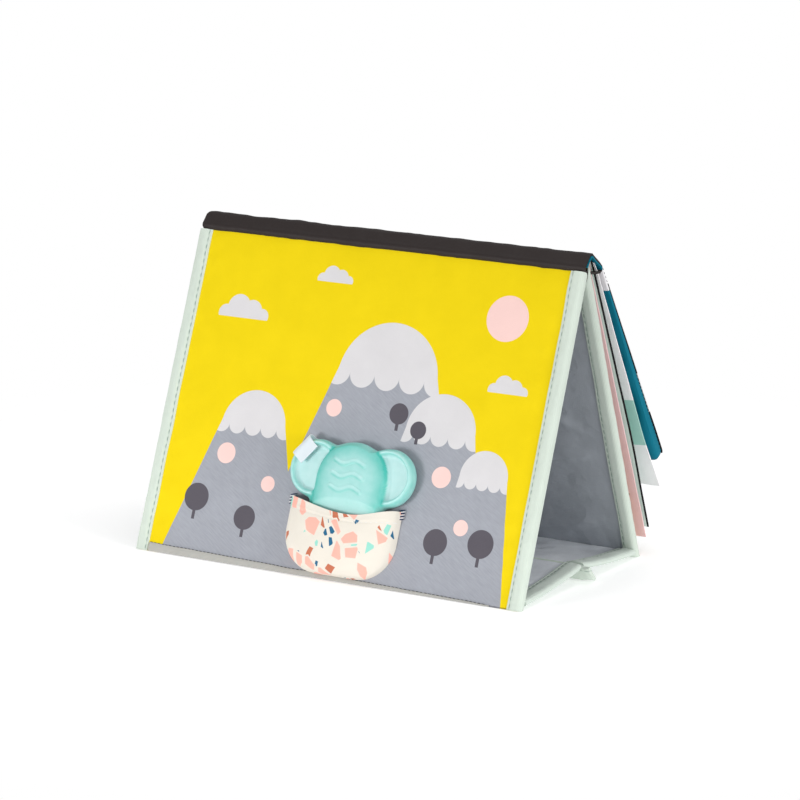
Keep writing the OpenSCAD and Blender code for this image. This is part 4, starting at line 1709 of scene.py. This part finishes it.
@dataclass
class Gusset:
    """The soft sewn floor between the covers, in two halves with a raised seam.

    Attributes:
        tent: The tent's places.
        edge_h: Height of the cloth's middle at the covers.
        peak_h: Height of its middle at the seam.
        thick: Thickness of the cloth.
        reach: Length of one half, from the seam to the cover.
    """

    tent: Tent
    edge_h: float = 2.4
    peak_h: float = 9.4
    thick: float = 1.8
    reach: float = 65.0

    def surface(self, sign: int) -> Place:
        """Gives the function that places a point on one half.

        Args:
            sign: -1 for the front half and 1 for the rear half.

        Returns:
            A function of the distance from the seam, place across and height above the cloth.
        """
        slope = math.atan2(self.peak_h - self.edge_h, self.tent.depth / 2)
        c, s = math.cos(slope), math.sin(slope)

        def place(along: float, u: float, w: float) -> Vector:
            """Places a point on the half, which sags between its ends."""
            sag = 0.9 * math.sin(math.pi * clamp(along / 62.0))
            return self.tent.section(u, sign * (along * c + w * s),
                                     self.peak_h - along * s - sag + w * c)

        return place

    def follow(self, piece: Piece) -> Piece:
        """Bakes a piece of the floor's transform into its mesh."""
        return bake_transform(piece)

    def half(self, sign: int) -> list[Piece]:
        """Makes one half of the floor with its bound ends.

        Args:
            sign: -1 for the front half and 1 for the rear half.

        Returns:
            The cloth, its tapes and their stitches.
        """
        surface = self.surface(sign)
        half, first, last = self.tent.half_w - 0.8, 1.3, self.reach
        label = "front" if sign < 0 else "rear"
        waves = (Wave(1.3, 24.0, 81.0 + sign), Wave(0.45, 9.0, 84.0))
        tucks = Wave(1.0, 12.0, 86.0)

        def place(s: float, t: float, r: float) -> Vector:
            """Places a point of the cloth, which is wavy where nothing holds it."""
            u, along = between(-half, half, s), between(first, last, t)
            free = smooth(along, 0, 8) * smooth(last - along, 0, 9) * smooth(half - abs(u), 6, 18)
            tuck = 0.9 * bump(last - along, 4.5, 2.6) * (0.6 + tucks.at(u))
            rise = added(waves, u, along) * free + tuck * smooth(half - abs(u), 4, 12)
            return surface(along, u, rise + (r - 0.5) * self.thick)

        cloth = soft_slab(f"{label}_floor", (140, 46, 1), place, (-half, half, first, last), FLOOR)
        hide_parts(f"floor_{label}")
        made = [self.follow(cloth)]

        def edge(along: float, u: float, w: float) -> Vector:
            """Places a point of a tape, measured from the cloth's upper face."""
            return surface(along, u, w + 0.5 * self.thick)

        for side in Side:
            end = side.name.lower()
            tape, thread = EdgeTape(
                f"{label}_floor_tape_{end}", side, edge, (1.4, self.reach), self.reach,
                panel_t=self.thick, puff=0.8, inner_puff=0.2,
                seed=90.0 + sign + 3 * side.value, finish=FLOOR_TAPE).build()
            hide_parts(f"floor_{label}_binding_{end}")
            for piece in (tape, thread):
                made.append(self.follow(piece))
        return made

    def flange(self) -> Piece:
        """Makes the seam allowance that hangs under the raised seam.

        Returns:
            The seam allowance.
        """
        half, loose, top, drop = self.tent.half_w, 5.5, 10.6, 9.9
        drift, lumps = Wave(0.7, 25.0, 97.0), Wave(0.25, 8.0, 98.0)

        def place(s: float, t: float, r: float) -> Vector:
            """Places a point of the strip, whose loose right end is thicker."""
            u = between(-half, half + loose, s)
            tab = smooth(u, half - 1.0, half + 2.0)
            z = top - drop * t - 0.8 * tab * (1 - t)
            lean = 4.0 * smooth(t, 0.15, 1.0) + drift.at(u) * t + 2.5 * tab * t
            thick = (1.5 + 0.7 * t + tab) * math.sqrt(clamp(1 - (2 * t - 1) ** 6)) + 0.15
            thick *= 1 + lumps.at(u, 10 * t)
            thick *= 0.4 + 0.6 * math.sqrt(smooth(min(half + loose - u, half + u), -0.5, 2.5))
            return self.tent.section(u, lean + (2 * r - 1) * thick, z)

        piece = soft_slab("seam_flange", (200, 12, 1), place, (-half, half, 0.0, 10.0), TAPE)
        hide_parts("floor_seam_flange")
        return self.follow(piece)


@dataclass
class Pocket:
    """The printed pocket, which bulges out and sags at its open top.

    Attributes:
        tent: The tent's places.
        middle: Place of its middle across the cover.
        foot: Height of its lower edge.
        width: Width where it is sewn on.
        height: Height of the pocket.
        out: How far it stands out.
        corner: Radius of its lower corners.
        wall: Thickness of its cloth.
        sag: How far its open edge sags.
        sag_at: Where across its edge sags most, from -1 to 1.
        seam: Share of its height where its hem is stitched.
        hem_count: How many stitches its hem has.
        tack_count: How many stitches hold each top corner.
        wrinkles: Its wrinkles.
    """

    tent: Tent
    middle: float = 7.3
    foot: float = 2.5
    width: float = 70.4
    height: float = 41.0
    out: float = 12.2
    corner: float = 22.5
    wall: float = 1.0
    sag: float = 6.6
    sag_at: float = 0.22
    seam: float = 0.84
    hem_count: int = 26
    tack_count: int = 7
    wrinkles: Wave = Wave(0.5, 9.0, 101.0)

    def point(self, s: float, t: float, r: float) -> tuple[float, float, float]:
        """Gives a point's place across, up and out, from its shares across, up and through."""
        across = 2 * s - 1
        beside = across - self.sag_at
        reach = 1 + self.sag_at if beside < 0 else 1 - self.sag_at
        sag = self.sag * math.cos(math.pi / 2 * clamp(beside / reach, -1, 1)) ** 1.3
        rise = self.height * t
        half = self.width / 2
        if rise < self.corner:
            half += -self.corner + math.sqrt(self.corner ** 2 - (self.corner - rise) ** 2)
        v = self.foot + rise - sag * t ** 3
        side = (1 - abs(across) ** 2.7) ** 0.48 if abs(across) < 1 else 0.0
        low = (1 - (1 - clamp(t / 0.5)) ** 2.6) ** 0.45
        bulge = self.out * side * low
        wrinkle = self.wrinkles.at(40 * s, 34 * t) * side + 0.35 * bump(t, 0.86, 0.03)
        bulge += wrinkle - 0.5 * bump(t, self.seam, 0.012) * side
        u = self.middle + across * half * (1 - 0.06 * low * (1 - abs(across)))
        return u, v, max(0.0, bulge) + r * self.wall * (1.5 if t > 0.87 else 1.0)

    def build(self) -> list[Piece]:
        """Makes the pocket, its hem stitches and the tacks at its top corners.

        Returns:
            The pocket and its stitches.
        """
        def place(s: float, t: float, r: float) -> Vector:
            """Places a point of the pocket on the front cover."""
            return self.tent.front(*self.point(s, t, r))

        steps = 60
        rises = [0.0]
        for k in range(steps):
            low, high = self.point(0.5, k / steps, 1.0), self.point(0.5, (k + 1) / steps, 1.0)
            rises.append(rises[-1] + math.dist(low, high))

        def unfold(s: float, t: float) -> Point:
            """Finds a place on the flat cloth, which is wider than the pocket's front."""
            u, _, out = self.point(s, t, 1.0)
            beside = 0.45 * abs(12 - out) * (2 * s - 1)
            return (u - self.middle + beside, rises[round(t * steps)])

        cloth = soft_slab("terrazzo_pocket", (90, steps, 1), place, (0.0, 1.0, 0.0, 1.0), POCKET,
                          70.0, unfold)
        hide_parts("pocket", "pocket_chips_salmon", "pocket_chips_rust",
                    "pocket_chips_teal", "pocket_chips_mint")
        spots = [tuple(place((k + 0.5 + way) / self.hem_count, self.seam, 1.0)
                       for way in (-0.32, 0.32)) for k in range(self.hem_count)]
        hem = stitches("pocket_hem_stitches", spots, 0.2, WHITE_STITCH)
        tacks = [[], []]
        for end in (-1, 1):
            for k in range(self.tack_count):
                u = self.middle + end * (self.width / 2 + 0.3 * (k % 2))
                v = self.foot + self.height + 0.4 - 0.85 * k
                tacks[k % 2].append((self.tent.front(u - 1.9, v, 2.4),
                                     self.tent.front(u + 2.1, v + 1.2, 1.5)))
        navy = stitches("pocket_tacks_navy", tacks[0], 0.36, NAVY_STITCH)
        white = stitches("pocket_tacks_white", tacks[1], 0.36, WHITE_STITCH)
        for piece in (cloth, hem, navy, white):
            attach(piece, "front_cover")
        return [cloth, hem, navy, white]


@dataclass
class Teether:
    """A silicone cloud: two dished side lobes and a round middle, with its foot in the pocket.

    Attributes:
        tent: The tent's places.
        middle: Place of its middle across the cover.
        back: Distance of its back from the cover.
        thick: Its thickness.
        span: Distance between the side lobes' centres.
        lobe_r: Radius of a side lobe.
        lobe_v: Height of the side lobes' centres.
        dome_r: Radius of the middle lobe.
        dome_v: Height of its centre.
        stem_w: Width of the foot.
        stem_v: Height of the foot's lower edge.
        centre_v: Height that its outline is measured from.
        soft: How round the outline is where two lobes meet.
        rim: Radius of its edge.
        dish: Depth of the dish in a side lobe.
        ridges: How many wavy ridges the middle has.
        ridge_v: Height of the lowest ridge.
        ridge_gap: Distance between two ridges.
        turns: Steps round the outline.
        rings: Steps from the front's middle round to the back's.
    """

    tent: Tent
    middle: float = 9.3
    back: float = 1.4
    thick: float = 8.0
    span: float = 46.8
    lobe_r: float = 16.5
    lobe_v: float = 60.5
    dome_r: float = 22.0
    dome_v: float = 56.0
    stem_w: float = 46.0
    stem_v: float = 11.1
    centre_v: float = 55.0
    soft: float = 1.6
    rim: float = 3.4
    dish: float = 3.0
    ridges: int = 3
    ridge_v: float = 51.0
    ridge_gap: float = 7.5
    turns: int = 360
    rings: int = 124

    def outside(self, u: float, v: float) -> float:
        """How far a place lies outside the outline, or inside it where this is negative."""
        parts = [math.hypot(u - side * self.span / 2, v - self.lobe_v) - self.lobe_r
                 for side in (-1, 1)]
        parts.append(math.hypot(u, v - self.dome_v) - self.dome_r)
        r = self.stem_w / 4
        low, high = self.stem_v + r, self.dome_v
        dx, dy = abs(u) - (self.stem_w / 2 - r), max(low - v, v - high)
        parts.append(math.hypot(max(dx, 0), max(dy, 0)) + min(max(dx, dy), 0) - r)
        return -self.soft * math.log(
            sum(math.exp(clamp(-part / self.soft, -60, 60)) for part in parts))

    def reach(self, angle: float) -> float:
        """Distance from the centre to the outline in one direction."""
        c, s = math.cos(angle), math.sin(angle)
        far, step = 60.0, 2.0
        while step > 0.02:
            while far > 1 and self.outside(far * c, self.centre_v + far * s) > 0:
                far -= step
            far, step = far + step, step / 4
        return far

    def relief(self, u: float, v: float) -> tuple[float, float]:
        """Height of the moulded relief at a place, and how much painted light it gets.

        Args:
            u: Place across, from the middle.
            v: Height up the cover.

        Returns:
            The height above the plain face, and a share of painted light: lit on the rims, dishes,
            dome and ridge tops, and in painted shade in the groove round the dome and below the
            ridges.
        """
        height, pale = 0.0, 0.0
        dome_far = math.hypot(u - 1.6, max(0.0, v - self.dome_v))
        above = smooth(v, self.dome_v - 14, self.dome_v - 6)
        for side in (-1, 1):
            far = math.hypot(u - side * self.span / 2, v - self.lobe_v)
            apart = smooth(dome_far, self.dome_r - 0.6, self.dome_r + 2.6)
            dish = smooth(self.lobe_r - far, 2.6, 5.0) * apart
            rim = bump(far, self.lobe_r - 2.0, 1.1) * apart
            height += 0.7 * rim - self.dish * dish
            clear = smooth(dome_far, self.dome_r + 0.1, self.dome_r + 1.3)
            # Painted light in the side lobes' dishes and on their rims.
            pale += 0.88 * smooth(self.lobe_r - far, 2.6, 4.4) * clear + 0.7 * rim
        dome = clamp(1 - (dome_far / self.dome_r) ** 2)
        height += 1.3 * (1 - (1 - dome) ** 1.6) + 1.1 * smooth(self.dome_r - dome_far, -0.4, 1.9)
        if dome > 0:
            # Painted light on the dome, brightest at its middle and darker towards its edge.
            pale += 0.14 + 0.42 * smooth(dome, 0.0, 0.8)
        # Painted shade in the groove round the dome's upper edge.
        pale -= 0.5 * bump(dome_far, self.dome_r + 0.3, 0.6) * above
        for k in range(self.ridges):
            line = v - self.ridge_v - self.ridge_gap * k - 1.1 * math.sin(u / 2.4)
            fade = smooth(11.5 - abs(u), 0.0, 2.5)
            height += 0.9 * bump(line, 0.0, 1.0) * fade
            # Painted highlight just above each ridge and painted shade just below it.
            pale += (0.14 * bump(line, 0.6, 1.0) - 0.28 * bump(line, -1.3, 0.7)) * fade
        return height, clamp(pale)

    def build(self) -> Piece:
        """Makes the teether from a ball, pressed to the cloud's outline.

        Returns:
            The teether.
        """
        turns = self.turns
        reaches = [self.reach(math.tau * k / turns) for k in range(turns)]
        # The back and the side walls take a low share of painted light, which is painted shade.
        half, shaded_tone = self.thick / 2, 0.45
        bm = bmesh.new()
        bmesh.ops.create_uvsphere(bm, u_segments=turns, v_segments=self.rings, radius=1.0)
        raised = bm.verts.layers.float.new("raised")
        for vert in bm.verts:
            level = clamp(vert.co.z, -1, 1)
            angle = math.atan2(vert.co.y, vert.co.x) % math.tau
            reach = reaches[round(angle / math.tau * turns) % turns]
            polar = math.acos(level)
            ring = min(polar, math.pi - polar) / (math.pi / 2)
            edge = reach - reach * ring
            body = half * (0.1 + 0.9 * quarter_round(edge / self.rim))
            u = reach * ring * math.cos(angle)
            v = self.centre_v + reach * ring * math.sin(angle)
            lift, pale = self.relief(u, v)
            if level >= 0:
                w = body if ring < 1 else 0.0
                w += lift * smooth(edge, 0.6, 3.0) * smooth(v, 30, 38)
            else:
                w, pale = -body, shaded_tone
            # Near the outline, the front's share fades to the walls' painted shade.
            pale = between(shaded_tone, pale, clamp(edge / 2.4))
            w = min(w, half + 2.6 * smooth(v, 34, 48))
            vert.co = self.tent.front(self.middle + u, v, self.back + half + w)
            vert[raised] = pale
        pattern_from_front(bm)
        piece = to_object(bm, "cloud_teether", SILICONE, 180.0)
        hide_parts("teether")
        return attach(piece, "front_cover")


@dataclass
class RibbonLoop:
    """The satin loop folded over the rim of the teether's left lobe.

    Attributes:
        tent: The tent's places.
        teether: The teether that it sits on.
        width: Width of the ribbon.
        length: Length of the loop.
        thick: Thickness of the ribbon.
        turn: How far it is turned to the left, in degrees.
        aside: How far its middle is from the lobe's own middle line.
        gap: Room between the ribbon and the teether's plain faces.
        waves: Its soft waves.
    """

    tent: Tent
    teether: Teether
    width: float = 13.4
    length: float = 9.8
    thick: float = 0.6
    turn: float = 52.0
    aside: float = 2.6
    gap: float = 0.5
    waves: Wave = Wave(0.25, 7.0, 111.0)

    def build(self) -> Piece:
        """Makes the folded loop.

        Returns:
            The loop.
        """
        held = self.teether
        centre = (held.middle - held.span / 2, held.lobe_v)
        low, high = held.back - self.gap, held.back + held.thick + self.gap
        top = held.lobe_r + 0.3
        foot = top - self.length
        middle, r = (low + high) / 2, (high - low) / 2
        arc = [(top - 0.8 * r + 0.8 * r * math.sin(a), middle + r * math.cos(a))
               for a in (math.pi * i / 14 for i in range(15))]
        line = Line.even([(foot, high), *arc, (foot, low)])
        angle = math.radians(self.turn)

        def place(s: float, share: float, through: float) -> Vector:
            """Places a point of the ribbon, from its shares across, along and through."""
            (up, w), (left_up, left_w) = line.at(share)
            across = (s - 0.5) * self.width * (1 + 0.06 * bump(share, 0.5, 0.2))
            out = self.thick * through + self.waves.at(across, 20 * share)
            up, w = up + left_up * out, w + left_w * out
            beside = across + self.aside
            du = beside * math.cos(angle) - up * math.sin(angle)
            dv = beside * math.sin(angle) + up * math.cos(angle)
            return self.tent.front(centre[0] + du, centre[1] + dv, w)

        piece = soft_slab("satin_loop", (20, 60, 1), place, (0.0, self.width, 0.0, line.length),
                          RIBBON, 60.0)
        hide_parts("teether_ribbon")
        line.length * MM
        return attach(piece, "front_cover")


@dataclass
class Book:
    """The whole book, which builds its parts in order."""

    tent: Tent = field(default_factory=Tent)

    def build(self) -> None:
        """Builds every piece and reports it."""
        tent = self.tent
        spine = Spine(tent)
        made: list[Piece] = []
        for cover in (Cover(tent, "front_cover", True, tent.face_top),
                      Cover(tent, "stand", False, tent.cover - 4)):
            made += [cover.cloth(), cover.lining(), *cover.tapes()]
        made += FootHem(tent).build()
        pages = (
            Page("pink_page", tent, spine, PINK_LEAF, 0.14, 24.3, 186.4, lift=-0.9, seed=50.0,
                 flare=-0.5),
            Page("mint_page", tent, spine, MINT_LEAF, 0.56, 25.6, 179.0, lift=-0.1, seed=53.0,
                 flare=-4.0),
            Page("white_page", tent, spine, WHITE_LEAF, 0.81, 29.9, 163.5, lift=0.7, seed=56.0,
                 thick=1.7, flare=3.4, flare_from=0.66),
        )
        leaves = [page.build() for page in pages]
        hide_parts("pages")
        made += leaves
        made += [spine.build(), spine.turned_edge()]
        made += BackCover(tent, spine).build()
        gusset = Gusset(tent)
        made += gusset.half(-1) + gusset.half(1) + [gusset.flange()]
        made += Pocket(tent).build()
        teether = Teether(tent)
        made += [teether.build(), RibbonLoop(tent, teether).build()]
        board = BOARD.material()
        for name in ("front_cover_board", "rear_panel_board"):
            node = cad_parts[name]
            for number in range(len(node.data.materials)):
                node.material_slots[number].material = board
        for piece in made:
            LOG.info("%s: %d faces", piece.name, len(piece.data.polygons))


@dataclass(frozen=True)
class Studio:
    """The floor, the lights and the camera, fitted to the photograph.

    Attributes:
        azimuth: Camera's direction round the book, in degrees.
        elevation: Camera's angle above the ground.
        roll: Camera's roll.
        distance: Distance from the target, in metres.
        target: What the camera turns about.
        lens: The lens, in mm.
        shift: How far the picture is shifted right and up, as shares of its width.
        sky: Strength of the light from all round.
        lamps: Each lamp's name, power in watts, width in metres and place.
    """

    azimuth: float = 30.695
    elevation: float = 12.201
    roll: float = 0.4935
    distance: float = 2.1968
    target: tuple[float, float, float] = (0.0, Tent().middle * MM, 0.1)
    lens: float = 174.535
    shift: tuple[float, float] = (0.0138, -0.0234)
    sky: float = 0.5
    lamps: tuple[tuple[str, float, float, tuple[float, float, float]], ...] = (
        ("key_light", 10.5, 0.35, (-0.45, -1.4, 0.08)),
        ("side_light", 22.0, 0.8, (2.1, -0.5, 0.4)),
        ("top_light", 18.0, 1.8, (0.2, 0.3, 2.6)))

    def camera(self) -> None:
        """Places the camera."""
        az, el, roll = (math.radians(a) for a in (self.azimuth, self.elevation, self.roll))
        back = Vector((math.sin(az) * math.cos(el), -math.cos(az) * math.cos(el), math.sin(el)))
        right = Vector((math.cos(az), math.sin(az), 0))
        up = back.cross(right)
        side = right * math.cos(roll) + up * math.sin(roll)
        top = up * math.cos(roll) - right * math.sin(roll)
        data = bpy.data.cameras.new("camera")
        data.lens, data.sensor_width = self.lens, 36.0
        data.shift_x, data.shift_y = self.shift
        data.clip_end = 20.0
        holder = bpy.data.objects.new("camera", data)
        turn = Matrix((side, top, back)).transposed().to_4x4()
        holder.matrix_world = Matrix.Translation(Vector(self.target) + back * self.distance) @ turn
        bpy.context.scene.collection.objects.link(holder)
        bpy.context.scene.camera = holder

    def floor(self) -> None:
        """Lays a plain pale floor, which fades out round the book."""
        bm = bmesh.new()
        bmesh.ops.create_grid(bm, x_segments=1, y_segments=1, size=6.0,
                              matrix=Matrix.Translation((0, 0, -0.0002)))
        mesh = bpy.data.meshes.new("studio_floor")
        bm.to_mesh(mesh)
        bm.free()
        made, wires, shader = start_material("studio_floor", (255, 255, 255))
        settle(shader, {"Base Color": (0.93, 0.93, 0.93, 1), "Emission Color": (1, 1, 1, 1),
                        "Emission Strength": 0.34, "Roughness": 0.9})
        place = wires.add("ShaderNodeTexCoord").outputs["Object"]
        length = wires.add("ShaderNodeVectorMath", operation="LENGTH")
        wires.join(place, length.inputs[0])
        near = wires.math("MULTIPLY_ADD", length.outputs["Value"], -4.0, 1.9)
        near.node.use_clamp = True
        wires.join(near, shader.inputs["Alpha"])
        mesh.materials.append(made)
        piece = bpy.data.objects.new("studio_floor", mesh)
        bpy.context.scene.collection.objects.link(piece)

    def light(self, name: str, power: float, size: float, place: Sequence[float]) -> None:
        """Adds one soft lamp that shines at the book.

        Args:
            name: The lamp's name.
            power: Its power in watts.
            size: Its width in metres.
            place: Where it stands.
        """
        data = bpy.data.lights.new(name, "AREA")
        data.energy, data.size = power, size
        lamp = bpy.data.objects.new(name, data)
        lamp.location = place
        way = Vector((0, 0, 0.08)) - Vector(place)
        lamp.rotation_euler = way.to_track_quat("-Z", "Y").to_euler()
        bpy.context.scene.collection.objects.link(lamp)

    def build(self) -> None:
        """Sets up the floor, the lights and the camera."""
        world = bpy.data.worlds.new("studio")
        world.use_nodes = True
        wires = Wires(world.node_tree)
        background = world.node_tree.nodes["Background"]
        background.inputs["Color"].default_value = (1, 1, 1, 1)
        seen = wires.add("ShaderNodeLightPath").outputs["Is Camera Ray"]
        wires.join(wires.math("MULTIPLY_ADD", seen, 1.0 - self.sky, self.sky),
                   background.inputs["Strength"])
        bpy.context.scene.world = world
        bpy.context.scene.view_settings.view_transform = "Standard"
        self.floor()
        for lamp in self.lamps:
            self.light(*lamp)
        self.camera()


def main() -> None:
    """Builds the book and its studio."""
    logging.basicConfig(level=logging.INFO, format="%(message)s")
    Book().build()
    Studio().build()
    bpy.context.view_layer.update()


if __name__ == "__main__":
    main()
